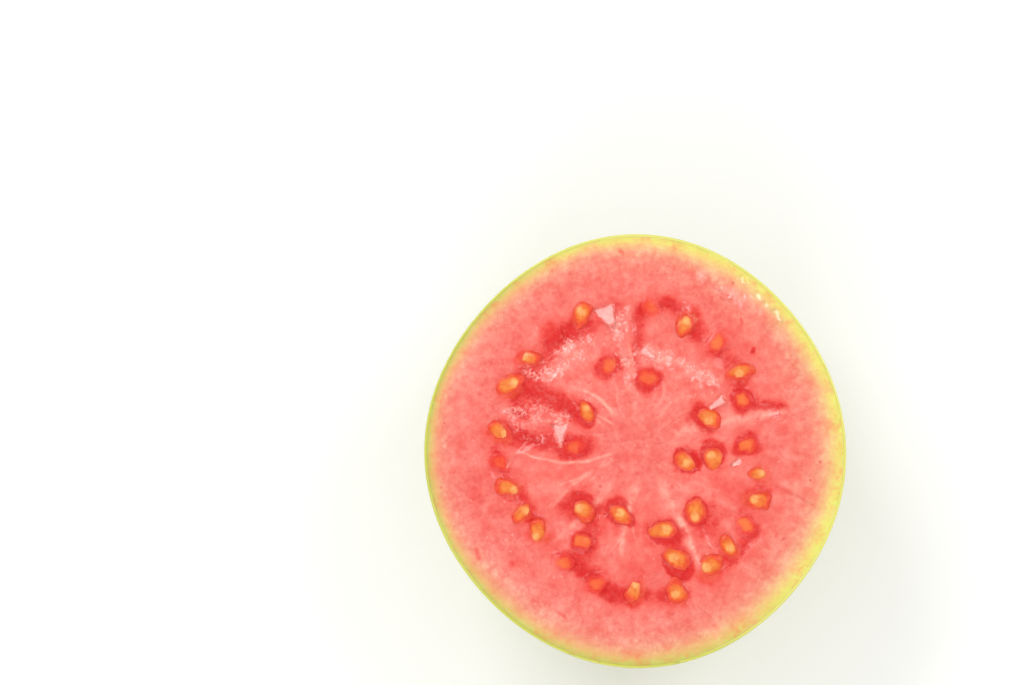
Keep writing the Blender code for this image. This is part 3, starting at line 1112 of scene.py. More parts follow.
@dataclass(frozen=True)
class Skin:
    """The skin: a thin shell from the rim of the cut down to the stem end's dimple.

    Attributes:
        form: The fruit's form.
        around: How many points a ring has.
        rings: How many rings lie between the rim and the flat spot.
    """

    form: FruitForm
    around: int = 512
    rings: int = 130

    INNER_RINGS = 16
    RIM_ROUNDING = 0.00016
    RIM_PROUD = 0.00003
    RIM_WOBBLE = 0.00005
    FOLD_HEIGHT = 0.00011
    BLEMISHES = 46
    SCAR_RISE = 0.00007
    SCAR_RAGGEDNESS = 0.55
    RANDOM_SEED = 5

    # The dents: how deep each layer is, its size, the part of the pattern it reads, its detail.
    DENTS = ((0.00016, 0.011, 1, 1), (0.00005, 0.0035, 2, 3.0))

    def blemishes(self) -> list[Blemish]:
        """Draws the seeded scars, most of them small.

        Returns:
            The scars.
        """
        draw = random.Random(self.RANDOM_SEED)
        return [
            Blemish(
                direction=draw.uniform(0, 360),
                share=draw.uniform(0.06, 0.96),
                size=0.0004 + 0.0008 * draw.random() ** 3,
                stretch=draw.uniform(1.0, 6.0),
                lean=draw.uniform(0, math.pi),
            )
            for _ in range(self.BLEMISHES)
        ]

    def shell(self) -> RingMesh:
        """Lays the rings up the inside, over the rim, down the outside and into the dimple.

        Returns:
            The rings.
        """
        form = self.form
        thick = form.skin_thickness
        mesh = RingMesh()
        mesh.ring(1, 0.0, form.dimple_depth + 2 * thick)
        for share in np.linspace(1.0, 0.015, self.INNER_RINGS):
            radius, height = form.side(share)
            mesh.ring(self.around, float(radius) - thick, float(height) + thick * share)
        top = form.face_height + self.RIM_PROUD
        mesh.ring(self.around, form.face_radius - thick, top)
        mesh.ring(self.around, form.face_radius - 0.6 * thick, top)
        for turn in np.linspace(0.0, math.pi / 2, 5):
            inset = self.RIM_ROUNDING * (1 - math.sin(turn))
            drop = self.RIM_ROUNDING * (1 - math.cos(turn))
            mesh.ring(self.around, form.face_radius - inset, top - drop)
        for share in np.linspace(0.008, 1.0, self.rings):
            radius, height = form.side(share)
            mesh.ring(self.around, float(radius), float(height))
        for radius, height in self.stem_end():
            mesh.ring(self.around, radius, height)
        mesh.ring(1, 0.0, form.dimple_depth)
        return mesh

    def stem_end(self) -> list[tuple[float, float]]:
        """Where the rings lie across the flat spot and up the dimple's wall.

        Returns:
            Each ring's radius and height.
        """
        form = self.form
        flat = [(form.rest_radius * (1 - k / 12 * 0.4), 0.0) for k in range(1, 13)]
        wall = []
        for turn in np.linspace(0.06, 1.0, 26):
            radius = form.dimple_radius * (1 - 0.75 * turn)
            height = form.dimple_depth * float(smooth_step(0.0, 0.85, np.array(turn)))
            wall.append((radius, height))
        return flat + wall

    def build(self) -> bpy.types.Object:
        """Makes the skin.

        Returns:
            The piece.
        """
        form = self.form
        mesh = self.shell()
        radius, angle, height = mesh.arrays()
        first_outer = 1 + self.INNER_RINGS * self.around
        outside = np.arange(len(radius)) >= first_outer
        place = np.column_stack((radius * np.cos(angle), radius * np.sin(angle), height))
        on_side = outside & (radius > form.rest_radius + TINY)
        lumps = form.lumps(angle, height)
        share = np.clip(height / form.face_height, 0.0, 1.0)
        window = np.where(on_side, smooth_step(0.0, 0.06, share) * smooth_step(1.0, 0.93, share), 0)
        dents = sum(depth * soft_patches(place, *pattern) for depth, *pattern in self.DENTS)
        scars = np.zeros_like(radius)
        ragged = self.SCAR_RAGGEDNESS * soft_patches(place, 0.0013, 7)
        for blemish in self.blemishes():
            scars = np.maximum(scars, self.scar(blemish, place, ragged))
        creases = self.creases(radius, angle, height)
        out = radius + np.where(radius > form.rest_radius, lumps, 0.0)
        out = out + window * dents + np.where(on_side, self.SCAR_RISE * scars, 0.0)
        out = out * form.swell(angle, height)
        rim = smooth_step(form.face_height - 0.0002, form.face_height, height)
        wobble = self.RIM_WOBBLE * soft_patches(place, 0.0025, 3) * rim
        points = np.column_stack(
            (out * np.cos(angle), out * np.sin(angle), np.maximum(height + wobble + creases, 0.0))
        )
        marks = {
            "scar": scars,
            "stem_end": smooth_step(0.0105, 0.0025, radius) * outside,
            "rim": smooth_step(0.994, 1.0, height / form.face_height),
            "ripe": 0.5 + 0.5 * np.cos(angle - RIPE_SIDE),
        }
        return make_piece("guava_skin", points, mesh.faces(), marks)

    def creases(self, radius: Array, angle: Array, height: Array) -> Array:
        """How far the puckers that run into the dimple lift the skin there.

        Args:
            radius: The points' distances from the axis.
            angle: Their directions.
            height: Their heights.

        Returns:
            The lift.
        """
        depth = smooth_step(self.form.dimple_radius, 0.45 * self.form.dimple_radius, radius)
        inside = (height < self.form.dimple_depth + TINY) * depth
        folds = np.cos(9 * angle + 1.3 * np.sin(2 * angle)) + 0.5 * np.cos(17 * angle + 1.0)
        return self.FOLD_HEIGHT * inside * folds

    def scar(self, blemish: Blemish, place: Array, ragged: Array) -> Array:
        """How much of each point one blemish covers.

        Args:
            blemish: The blemish.
            place: The points' places.
            ragged: How far its edge is pushed in or out there, as a share of its size.

        Returns:
            The cover, from 0 to 1.
        """
        radius, height = self.form.side(blemish.share)
        turn = math.radians(blemish.direction)
        middle = np.array((radius * math.cos(turn), radius * math.sin(turn), height))
        round_it = np.array((-math.sin(turn), math.cos(turn), 0.0))
        offset = place - middle
        across = offset @ round_it
        upward = np.sqrt(np.maximum((offset**2).sum(axis=1) - across**2, 0.0)) * np.sign(offset[:, 2])
        along = across * math.cos(blemish.lean) + upward * math.sin(blemish.lean)
        aside = upward * math.cos(blemish.lean) - across * math.sin(blemish.lean)
        away = np.hypot(along / blemish.stretch, aside) / (blemish.size / 2) + ragged
        return smooth_step(1.25, 0.55, away)


@dataclass(frozen=True)
class SeedCluster:
    """The seeds of one chamber, as one piece.

    Attributes:
        face: The cut face that they lie in.
        number: Which chamber it is, from 1.
    """

    face: CutFace
    number: int

    TAPER = 0.26
    TAPER_SPREAD = 0.12
    STRETCH = 1.25
    BLUNTNESS = 0.15
    EDGE_REACH = 0.34
    OUTLINE_STEPS = 48
    SEEN_SHARE = 0.52
    FULLNESS = 1.04
    SLIM_SPREAD = 0.16
    PLUMPNESS = 1.24
    LUMPS = ((0.22, 1.3), (0.03, 4.0))
    SQUARENESS = 2.4
    UPPER_SHARE = 0.64
    DIVISIONS = 5
    FACETS = 6
    FACET_SOFTNESS = 0.60
    FACET_PRESS = 0.9
    FACET_REACH = (0.74, 0.96)
    CREST_RADIUS = 0.62

    def facets(self, index: int) -> list[tuple[Vector, float]]:
        """The flats that its neighbours pressed in a seed.

        Args:
            index: Which of the chamber's seeds it is.

        Returns:
            Which way each flat faces, and how far from the seed's middle it is.
        """
        draw = random.Random(self.number * 100 + index)
        found = []
        for number in range(self.FACETS):
            turn = (number + draw.uniform(-0.4, 0.4)) * math.tau / self.FACETS
            facing = Vector((math.cos(turn), math.sin(turn), draw.uniform(-0.1, 0.35))).normalized()
            found.append((facing, draw.uniform(*self.FACET_REACH)))
        return found

    def shape(self, index: int, seed: Seed) -> tuple[bmesh.types.BMesh, Array]:
        """One seed in its place: a blunt uneven wedge with pressed sides.

        Args:
            index: Which of the chamber's seeds it is.
            seed: Where it lies, and how.

        Returns:
            The seed, and how far in from its outline each of its points is, from 0 to 1.
        """
        made = bmesh.new()
        bmesh.ops.create_icosphere(made, subdivisions=self.DIVISIONS, radius=1.0)
        own = Vector((seed.x * 31.0, seed.y * 17.0, seed.turn))
        facets = self.facets(index)
        tapering = self.TAPER + self.TAPER_SPREAD * noise.noise(own * 2.0) * 2
        slim = self.FULLNESS + self.SLIM_SPREAD * noise.noise(own * 3.0) * 2
        for vertex in made.verts:
            place = vertex.co.copy()
            around = min(math.hypot(place.x, place.y), 1.0)
            blunt = (1 - around**self.SQUARENESS) ** (1 / self.SQUARENESS)
            place.z = math.copysign(blunt, place.z)
            for facing, distance in facets:
                over = place.dot(facing) - distance
                if over > 0:
                    place -= facing * (self.FACET_PRESS * over * over / (over + self.FACET_SOFTNESS))
            taper = 1 - tapering * (place.x + 1) / 2
            uneven = self.PLUMPNESS
            for rise, detail in self.LUMPS:
                uneven += rise * noise.noise(place * detail + own)
            blunted = place.x * (1 - self.BLUNTNESS * place.x**2)
            vertex.co.x = blunted * self.face.SEED_LENGTH / 2 * uneven * self.STRETCH
            vertex.co.y = place.y * self.face.SEED_WIDTH / 2 * taper * uneven * slim
            half = self.face.SEED_THICKNESS / 2
            half *= self.UPPER_SHARE if place.z > 0 else 2 - self.UPPER_SHARE
            vertex.co.z = place.z * half
        inner = self.inwards(np.array([vertex.co[:] for vertex in made.verts]))
        height = self.span(seed)[1] - seed.size * self.face.SEED_THICKNESS / 2 * self.UPPER_SHARE
        radius = self.face.form.face_radius
        where = Matrix.LocRotScale(
            Vector((seed.x * radius, seed.y * radius, height)),
            Euler((0.0, seed.tilt * (1 - seed.veil), seed.turn)),
            Vector((seed.size,) * 3),
        )
        bmesh.ops.transform(made, matrix=where, verts=made.verts)
        return made, inner

    def inwards(self, points: Array) -> Array:
        """How far in from a seed's outline its points are, seen from above.

        Args:
            points: The seed's points, round its own middle.

        Returns:
            A share for each point, from 0 at the outline to 1.
        """
        turn = np.arctan2(points[:, 1], points[:, 0]) / math.tau % 1 * self.OUTLINE_STEPS
        step = turn.astype(int) % self.OUTLINE_STEPS
        reach = np.hypot(points[:, 0], points[:, 1])
        seen = points[:, 2] > self.SEEN_SHARE * points[:, 2].max()
        outline = np.zeros(self.OUTLINE_STEPS)
        np.maximum.at(outline, step[seen], reach[seen])
        outline = (np.roll(outline, 1) + outline + np.roll(outline, -1)) / 3
        return smooth_step(1.0, self.EDGE_REACH, reach / np.maximum(outline[step], TINY))

    def span(self, seed: Seed) -> tuple[float, float]:
        """How far up a seed reaches.

        Args:
            seed: The seed.

        Returns:
            The heights at which it comes out of the flesh and at which it ends.
        """
        face = self.face
        low, rise = face.OPEN_FLOOR, face.SEED_RISE
        if seed.socket < 1:
            low, rise = face.WALL_FLOOR, face.WALL_RISE
        if seed.veil > 0:
            low, rise = face.VEILED_FLOOR, face.VEILED_RISE - face.VEILED_SINK * seed.veil
        return face.form.face_height + low, face.form.face_height + rise

    def cream_and_glint(self, index: int, seed: Seed, points: Array) -> Array:
        """Where the cream patch near one end of a seed's top is: partly its paler coat and partly a
        painted highlight.

        Args:
            index: Which of the chamber's seeds it is.
            seed: Where it lies, and how.
            points: The seed's points.

        Returns:
            How much of the patch covers each point, from 0 to 1.
        """
        draw = random.Random(self.number * 50 + index)
        half = seed.size * self.face.SEED_LENGTH / 2
        radius = self.face.form.face_radius
        ahead, aside = draw.uniform(-0.40, 0.45), draw.uniform(-0.25, 0.25)
        turn = complex(math.cos(seed.turn), math.sin(seed.turn))
        middle = complex(seed.x, seed.y) * radius + half * complex(ahead, aside) * turn
        away = np.hypot(points[:, 0] - middle.real, points[:, 1] - middle.imag)
        return smooth_step(self.CREST_RADIUS, 0.10, away / half) * (seed.veil == 0)

    def build(self) -> bpy.types.Object:
        """Makes the chamber's seeds, with how far up each point is, how much of the cream patch and
        painted highlight covers it, and how veiled it is.

        Returns:
            The piece.
        """
        points, faces = np.empty((0, 3)), []
        marks: dict[str, list[Array]] = {"rise": [], "cream_and_glint": [], "veil": [], "own": []}
        for index, seed in enumerate(self.face.seeds[self.number - 1]):
            shape, inner = self.shape(index, seed)
            placed = np.array([vertex.co[:] for vertex in shape.verts])
            faces += [tuple(len(points) + corner.index for corner in f.verts) for f in shape.faces]
            points = np.concatenate((points, placed))
            low, top = self.span(seed)
            rise = np.clip((placed[:, 2] - low) / max(top - low, MM / 10), 0, 1)
            marks["rise"].append(rise * inner)
            marks["cream_and_glint"].append(self.cream_and_glint(index, seed, placed))
            marks["veil"].append(np.full(len(placed), float(seed.veil > 0)))
            marks["own"].append(np.full(len(placed), (index * 0.37 + self.number * 0.21) % 1))
            shape.free()
        joined = {name: np.concatenate(values) for name, values in marks.items()}
        return make_piece(f"seeds_chamber_{self.number}", points, faces, joined)


@dataclass(frozen=True)
class StalkScar:
    """The woody scar that the stalk left in the stem end's dimple.

    Attributes:
        form: The fruit's form.
        radius: How wide it is.
        clearance: How far its face stays above the surface that the fruit rests on.
    """

    form: FruitForm
    radius: float = 0.0016
    clearance: float = 0.0004

    AROUND = 96
    RINGS = 22
    GROOVE_DEPTH = 0.00007
    CRACK_DEPTH = 0.00020

    def build(self) -> bpy.types.Object:
        """Makes the scar: a cracked disc with a ragged edge, which looks down.

        Returns:
            The piece.
        """
        mesh = RingMesh()
        back = self.form.dimple_depth + 0.0003
        mesh.ring(1, 0.0, back)
        mesh.ring(self.AROUND, self.radius * 1.05, back)
        mesh.ring(self.AROUND, self.radius * 1.08, self.form.dimple_depth * 0.7)
        for share in np.linspace(1.0, 0.05, self.RINGS):
            mesh.ring(self.AROUND, self.radius * share, self.clearance * (1.25 + 0.3 * share**6))
        mesh.ring(1, 0.0, self.clearance * 1.3)
        radius, angle, height = mesh.arrays()
        share = radius / self.radius
        seen = height < self.form.dimple_depth * 0.6
        ragged = 1 + 0.07 * np.sin(7 * angle + 0.6) + 0.04 * np.sin(13 * angle + 2.0)
        grooves = self.GROOVE_DEPTH * np.cos(share * 19 + 0.5 * np.sin(3 * angle))
        cracks = self.CRACK_DEPTH * np.exp(-((np.sin(3.5 * angle + 1.2 * share) / 0.16) ** 2)) * share
        out, height = radius * ragged, height + seen * (grooves + cracks)
        points = np.column_stack((out * np.cos(angle), out * np.sin(angle), height))
        # The cracks' depth, which the finish turns into painted shade.
        marks = {"crack_shade": np.clip(cracks / self.CRACK_DEPTH, 0, 1)}
        return make_piece("stalk_scar", points, mesh.faces(), marks)


# ---------------------------------------------------------------- nodes

Socket = bpy.types.NodeSocket
Feed = Socket | float | tuple[float, ...]


@dataclass(frozen=True)
class Nodes:
    """Builds the nodes of one material or one group.

    Attributes:
        tree: The node tree that they go in.
    """

    tree: bpy.types.NodeTree

    def feed(self, entry: Socket, value: Feed) -> None:
        """Links a socket to an input, or sets a plain number, vector or colour on it.

        Args:
            entry: The input.
            value: What goes in it.
        """
        if isinstance(value, bpy.types.NodeSocket):
            self.tree.links.new(value, entry)
        elif entry.type == "RGBA":
            entry.default_value = (*value, 1.0)
        else:
            entry.default_value = value

    def fill(self, node: bpy.types.Node, **feeds: Feed) -> None:
        """Feeds a node's inputs by name.

        Args:
            node: The node.
            feeds: What goes in each input: its name in small letters, with _ for a space.
        """
        entries = {entry.name.lower().replace(" ", "_"): entry for entry in node.inputs}
        for name, value in feeds.items():
            self.feed(entries[name], value)

    def add(
        self, kind: str, settings: dict[str, object] | None = None, **feeds: Feed
    ) -> bpy.types.Node:
        """Adds one node.

        Args:
            kind: The node's type without its "ShaderNode" beginning.
            settings: What to set on the node itself.
            feeds: What goes in its inputs, named as fill takes them.

        Returns:
            The node.
        """
        node = self.tree.nodes.new(f"ShaderNode{kind}")
        for name, value in (settings or {}).items():
            setattr(node, name, value)
        self.fill(node, **feeds)
        return node

    def math(self, operation: str, *values: Feed, clamp: bool = False, kind: str = "Math") -> Socket:
        """Works out one sum.

        Args:
            operation: What to do with the values.
            values: One, two or three values.
            clamp: Whether a number is held between 0 and 1.
            kind: Math for numbers, or VectorMath for vectors.

        Returns:
            The result.
        """
        settings = {"operation": operation} | ({"use_clamp": True} if clamp else {})
        node = self.add(kind, settings)
        for entry, value in zip(node.inputs, values):
            self.feed(entry, value)
        return node.outputs[0]

    def vector(self, operation: str, *values: Feed) -> Socket:
        """The result of a sum on vectors."""
        return self.math(operation, *values, kind="VectorMath")

    def times(self, *values: Feed) -> Socket:
        """The values multiplied together."""
        return reduce(partial(self.math, "MULTIPLY"), values)

    def plus(self, *values: Feed) -> Socket:
        """The values added up."""
        return reduce(partial(self.math, "ADD"), values)

    def mix(self, share: Feed, first: Feed, second: Feed, blend: str = "MIX") -> Socket:
        """Mixes two colours.

        Args:
            share: How much of the second, from 0 to 1.
            first: The colour at 0.
            second: The colour at 1.
            blend: The way that they are mixed.

        Returns:
            The mixed colour.
        """
        node = self.add("Mix", {"data_type": "RGBA", "blend_type": blend})
        for number, value in ((0, share), (6, first), (7, second)):
            self.feed(node.inputs[number], value)
        return node.outputs[2]

    def lay(self, base: Feed, colour: Feed, *shares: Feed) -> Socket:
        """Lays a colour over the base, as thickly as the shares multiplied together."""
        return self.mix(self.times(*shares), base, colour)

    def ease(self, value: Feed, low: Feed, high: Feed, start: float = 0.0, end: float = 1.0) -> Socket:
        """Maps one range to another with an even ease, and holds the ends outside it.

        Args:
            value: What to map.
            low: Where the range starts.
            high: Where it ends.
            start: The result at low.
            end: The result at high.

        Returns:
            The result.
        """
        node = self.add("MapRange", {"interpolation_type": "SMOOTHSTEP"}, value=value)
        for number, bound in enumerate((low, high, start, end), 1):
            self.feed(node.inputs[number], bound)
        return node.outputs[0]

    def ramp(self, value: Feed, stops: tuple[tuple[float, Colour], ...]) -> Socket:
        """A colour ramp with eased colours between its stops.

        Args:
            value: Where to read the ramp, from 0 to 1.
            stops: The place and the colour of each stop.

        Returns:
            The colour.
        """
        node = self.add("ValToRGB", fac=value)
        node.color_ramp.interpolation = "EASE"
        elements = node.color_ramp.elements
        while len(elements) < len(stops):
            elements.new(0.5)
        for element, (place, colour) in zip(elements, stops):
            element.position = place
            element.color = (*colour, 1.0)
        return node.outputs[0]

    def place(self) -> Socket:
        """The point's place on the object, in metres."""
        return self.add("TexCoord").outputs["Object"]

    def mark(self, name: str) -> Socket:
        """A marking that the mesh stores on its points."""
        return self.add("Attribute", {"attribute_name": name}).outputs["Fac"]

    def noise(self, vector: Feed, size: Feed, detail: float = 3.0, rough: float = 0.5) -> Socket:
        """Noise whose patches are about that size across, from 0 to 1."""
        scale = self.math("DIVIDE", 1.0, size)
        return self.add("TexNoise", vector=vector, scale=scale, detail=detail, roughness=rough).outputs[0]

    def swing(self, vector: Feed, size: Feed, detail: float, rough: float) -> Socket:
        """The same noise round 0, from -0.5 to 0.5."""
        return self.math("SUBTRACT", self.noise(vector, size, detail, rough), 0.5)


class Effect(Enum):
    """The effects that more than one finish uses, each a node group."""

    MOTTLE = "mottle"
    SPECKS = "specks"
    PORES = "pores"
    WETNESS = "wetness"


class EffectShelf:
    """Makes each effect's node group once and hands it out."""

    def __init__(self) -> None:
        """Starts with an empty shelf."""
        self.made: dict[Effect, bpy.types.NodeTree] = {}
        self.makers = {
            Effect.MOTTLE: self.make_mottle,
            Effect.SPECKS: self.make_specks,
            Effect.PORES: self.make_pores,
            Effect.WETNESS: self.make_wetness,
        }

    def place_in(self, nodes: Nodes, effect: Effect, **feeds: Feed) -> bpy.types.Node:
        """Places an effect in a material.

        Args:
            nodes: The material's nodes.
            effect: The effect.
            feeds: What goes in its inputs, named as Nodes.fill takes them.

        Returns:
            The group node.
        """
        if effect not in self.made:
            self.made[effect] = self.makers[effect]()
        return nodes.add("Group", {"node_tree": self.made[effect]}, **feeds)

    def mottle(self, nodes: Nodes, **feeds: Feed) -> Socket:
        """Places the mottle, and gives its colour."""
        return self.place_in(nodes, Effect.MOTTLE, **feeds).outputs["Color"]

    def specks(self, nodes: Nodes, **feeds: Feed) -> Socket:
        """Places the specks, and gives where they are."""
        return self.place_in(nodes, Effect.SPECKS, **feeds).outputs["Mask"]

    def bumps(self, nodes: Nodes, strength: float, distance: float, **feeds: Feed) -> Socket:
        """Places the pores, and gives the normal of a surface with them."""
        height = self.place_in(nodes, Effect.PORES, **feeds).outputs["Height"]
        return nodes.add("Bump", strength=strength, distance=distance, height=height).outputs["Normal"]

    @staticmethod
    def start(
        effect: Effect, inputs: dict[str, float | Colour], outputs: dict[str, str]
    ) -> tuple[Nodes, dict[str, Socket], dict[str, Socket]]:
        """Makes an empty group with its sockets, of which Place is always one.

        Args:
            effect: The effect that it is for.
            inputs: Each further input's usual value, a number or a colour.
            outputs: Each output's kind of socket.

        Returns:
            The group's nodes, its inputs as they come in and its outputs to be fed.
        """
        tree = bpy.data.node_groups.new(effect.value, "ShaderNodeTree")
        tree.interface.new_socket("Place", in_out="INPUT", socket_type="NodeSocketVector")
        for name, value in inputs.items():
            is_colour = isinstance(value, tuple)
            kind = "NodeSocketColor" if is_colour else "NodeSocketFloat"
            entry = tree.interface.new_socket(name, in_out="INPUT", socket_type=kind)
            entry.default_value = (*value, 1.0) if is_colour else value
        for name, kind in outputs.items():
            tree.interface.new_socket(name, in_out="OUTPUT", socket_type=f"NodeSocket{kind}")
        incoming = tree.nodes.new("NodeGroupInput")
        outgoing = tree.nodes.new("NodeGroupOutput")
        given = {name: incoming.outputs[name] for name in ("Place", *inputs)}
        return Nodes(tree), given, {name: outgoing.inputs[name] for name in outputs}

    def make_mottle(self) -> bpy.types.NodeTree:
        """Soft blotches between two tones, with finer ones on them.

        Returns:
            The group.
        """
        inputs = {
            "Size": 0.004,
            "Contrast": 2.0,
            "Tone": (0.5, 0.5, 0.5),
            "Other Tone": (0.6, 0.6, 0.6),
        }
        nodes, given, wanted = self.start(Effect.MOTTLE, inputs, {"Color": "Color"})
        spread = nodes.times(nodes.swing(given["Place"], given["Size"], 5.0, 0.62), given["Contrast"])
        mask = nodes.math("ADD", spread, 0.5, clamp=True)
        nodes.feed(wanted["Color"], nodes.mix(mask, given["Tone"], given["Other Tone"]))
        return nodes.tree

    def make_specks(self) -> bpy.types.NodeTree:
        """Scattered round specks of mixed sizes.

        Returns:
            The group.
        """
        inputs = {"Spacing": 0.002, "Radius": 0.0002, "Share": 0.4}
        nodes, given, wanted = self.start(Effect.SPECKS, inputs, {"Mask": "Float"})
        scale = nodes.math("DIVIDE", 1.0, given["Spacing"])
        cells = nodes.add("TexVoronoi", vector=given["Place"], scale=scale)
        chance = nodes.add("SeparateColor", color=cells.outputs["Color"])
        kept = nodes.math("LESS_THAN", chance.outputs[0], given["Share"])
        grown = nodes.times(nodes.times(given["Radius"], scale), nodes.plus(chance.outputs[1], 0.5))
        inner = nodes.times(grown, 0.45)
        round_spot = nodes.ease(cells.outputs["Distance"], inner, grown, 1.0, 0.0)
        nodes.feed(wanted["Mask"], nodes.times(round_spot, kept))
        return nodes.tree

    def make_pores(self) -> bpy.types.NodeTree:
        """The height of a fine uneven surface: soft swells with small pits in them.

        Returns:
            The group.
        """
        inputs = {"Size": 0.001, "Pits": 0.5}
        nodes, given, wanted = self.start(Effect.PORES, inputs, {"Height": "Float"})
        swells = nodes.noise(given["Place"], given["Size"], detail=4.0, rough=0.55)
        scale = nodes.math("DIVIDE", 1.3, given["Size"])
        cells = nodes.add("TexVoronoi", vector=given["Place"], scale=scale)
        pit = nodes.ease(cells.outputs["Distance"], 0.05, 0.32)
        sunk = nodes.times(nodes.math("SUBTRACT", pit, 1.0), given["Pits"])
        nodes.feed(wanted["Height"], nodes.plus(swells, sunk))
        return nodes.tree

    def make_wetness(self) -> bpy.types.NodeTree:
        """How smooth and how coated with juice or wax a surface is, in uneven patches.

        Returns:
            The group.
        """
        inputs = {"Size": 0.003, "Wetness": 0.5, "Dry Roughness": 0.5, "Wet Roughness": 0.12}
        outputs = {"Roughness": "Float", "Coat": "Float"}
        nodes, given, wanted = self.start(Effect.WETNESS, inputs, outputs)
        patches = nodes.times(nodes.swing(given["Place"], given["Size"], 3.0, 0.5), 1.1)
        wet = nodes.math("ADD", given["Wetness"], patches, clamp=True)
        gap = nodes.math("SUBTRACT", given["Wet Roughness"], given["Dry Roughness"])
        nodes.feed(wanted["Roughness"], nodes.plus(given["Dry Roughness"], nodes.times(gap, wet)))
        nodes.feed(wanted["Coat"], wet)
        return nodes.tree


def new_material(name: str) -> tuple[bpy.types.Material, Nodes, bpy.types.Node]:
    """Makes a material.

    Args:
        name: Its name.

    Returns:
        The material, the builder of its nodes and its Principled shader.
    """
    material = bpy.data.materials.new(name)
    material.use_nodes = True
    return material, Nodes(material.node_tree), material.node_tree.nodes["Principled BSDF"]


# ---------------------------------------------------------------- finishes


@dataclass(frozen=True)
class FleshFinish:
    """Wet pink flesh: pale under the skin, deep pink inside and dark red in the chambers.

    Attributes:
        shaded_rind: The colours from the skin inwards on the green side, each with its depth as a
            share of rind_depth.
        ripe_rind: The same on the side where the flesh under the skin has turned yellow.
        rind_depth: The depth, in mm, that the last colour is at.
        core: The pale pink of the core and the lobes.
        pulp: The dark red of the pulp.
        bright_pulp: The brighter red where the pulp is thin.
        glow: The orange of flesh that lies thin over a seed.
        deep_glow: The red of flesh that lies thick over one.
        grain_glint: The pale pink painted where light glints off torn wet grains and small flecks: a
            painted highlight.
        strand: The pale strands.
        vein: The dark veins and dots.
    """

    shaded_rind: tuple[tuple[float, Colour], ...] = (
        (0.00, (0.47, 0.49, 0.095)),
        (0.08, (0.57, 0.52, 0.115)),
        (0.14, (0.68, 0.48, 0.138)),
        (0.20, (0.76, 0.42, 0.165)),
        (0.29, (0.80, 0.340, 0.185)),
        (0.42, (0.825, 0.280, 0.196)),
        (0.65, (0.835, 0.210, 0.162)),
        (1.00, (0.83, 0.165, 0.132)),
    )
    ripe_rind: tuple[tuple[float, Colour], ...] = (
        (0.00, (0.74, 0.71, 0.165)),
        (0.06, (0.77, 0.70, 0.150)),
        (0.13, (0.79, 0.66, 0.165)),
        (0.20, (0.81, 0.56, 0.200)),
        (0.28, (0.817, 0.436, 0.211)),
        (0.37, (0.825, 0.335, 0.204)),
        (0.55, (0.835, 0.235, 0.170)),
        (1.00, (0.83, 0.165, 0.130)),
    )
    rind_depth: float = 8.0
    core: Colour = (0.87, 0.185, 0.145)
    pulp: Colour = (0.65, 0.003, 0.003)
    bright_pulp: Colour = (0.83, 0.070, 0.052)
    glow: Colour = (0.88, 0.235, 0.046)
    deep_glow: Colour = (0.78, 0.042, 0.016)
    # Painted highlight: the pale pink laid where light would glint off wet grains.
    grain_glint: Colour = (0.95, 0.44, 0.37)
    strand: Colour = (0.94, 0.40, 0.31)
    vein: Colour = (0.70, 0.045, 0.035)

    # The sandy clouds in the flesh: the size, the contrast and the darkest and lightest tone of each.
    CLOUDS = ((0.0007, 3.4, 0.78, 1.22), (0.0017, 3.4, 0.74, 1.25), (0.0070, 3.2, 0.82, 1.18))
    RAY_COUNT = 9.0
    RAY_LENGTH = 1 / 130
    CELL_SCALE = 950.0
    CELL_BEND = 0.0006
    CELL_BEND_SCALE = 1400.0

    def make(self, shelf: EffectShelf) -> bpy.types.Material:
        """Makes the material from the cut face's markings and finer patterns of its own.

        Args:
            shelf: The shared effects.

        Returns:
            The material.
        """
        material, nodes, shader = new_material("guava_flesh")
        place = nodes.place()
        base = self.plain_flesh(nodes, shelf, place)
        base = self.juicy_pulp(nodes, place, base)
        base = nodes.lay(base, self.vein, nodes.mark("vein"), 0.7)
        broken = nodes.ease(nodes.noise(place, 0.0011, 3.0, 0.65), 0.32, 0.62, 0.35, 1.00)
        base = nodes.lay(base, self.strand, nodes.mark("strand"), broken)
        self.wet_surface(nodes, shelf, place, shader)
        nodes.fill(
            shader,
            base_color=base,
            subsurface_weight=0.30,
            subsurface_radius=(1.0, 0.35, 0.25),
            subsurface_scale=0.0010,
            coat_roughness=0.09,
            ior=1.38,
        )
        return material

    def plain_flesh(self, nodes: Nodes, shelf: EffectShelf, place: Socket) -> Socket:
        """The colour of the rind, the ring and the lobes, sandy and clouded.

        Args:
            nodes: The material's nodes.
            shelf: The shared effects.
            place: The point's place.

        Returns:
            The colour.
        """
        rind = nodes.mark("rind")
        edge = nodes.times(nodes.swing(place, 0.0018, 4.0, 0.6), 0.035)
        depth = nodes.plus(nodes.math("DIVIDE", rind, self.rind_depth), edge)
        side = nodes.ease(nodes.mark("ripe"), 0.30, 0.75)
        base = nodes.mix(side, nodes.ramp(depth, self.shaded_rind), nodes.ramp(depth, self.ripe_rind))
        base = nodes.lay(base, self.core, nodes.mark("lobe"), 0.85)
        clouded = nodes.ease(rind, 0.8, 4.0, 0.25, 1.0)
        for size, contrast, low, high in self.CLOUDS:
            tones = {"tone": (0.97, low, low), "other_tone": (1.02, high, high)}
            mottle = shelf.mottle(nodes, place=place, size=size, contrast=contrast, **tones)
            base = nodes.mix(clouded, base, nodes.mix(1.0, base, mottle, "MULTIPLY"))
        streaks = nodes.ease(self.rays(nodes, place), 0.50, 0.76)
        clear = nodes.ease(rind, 26.0, 18.0)
        base = nodes.lay(base, self.strand, streaks, clear, 0.32)
        inside = nodes.ease(rind, 1.5, 3.0)
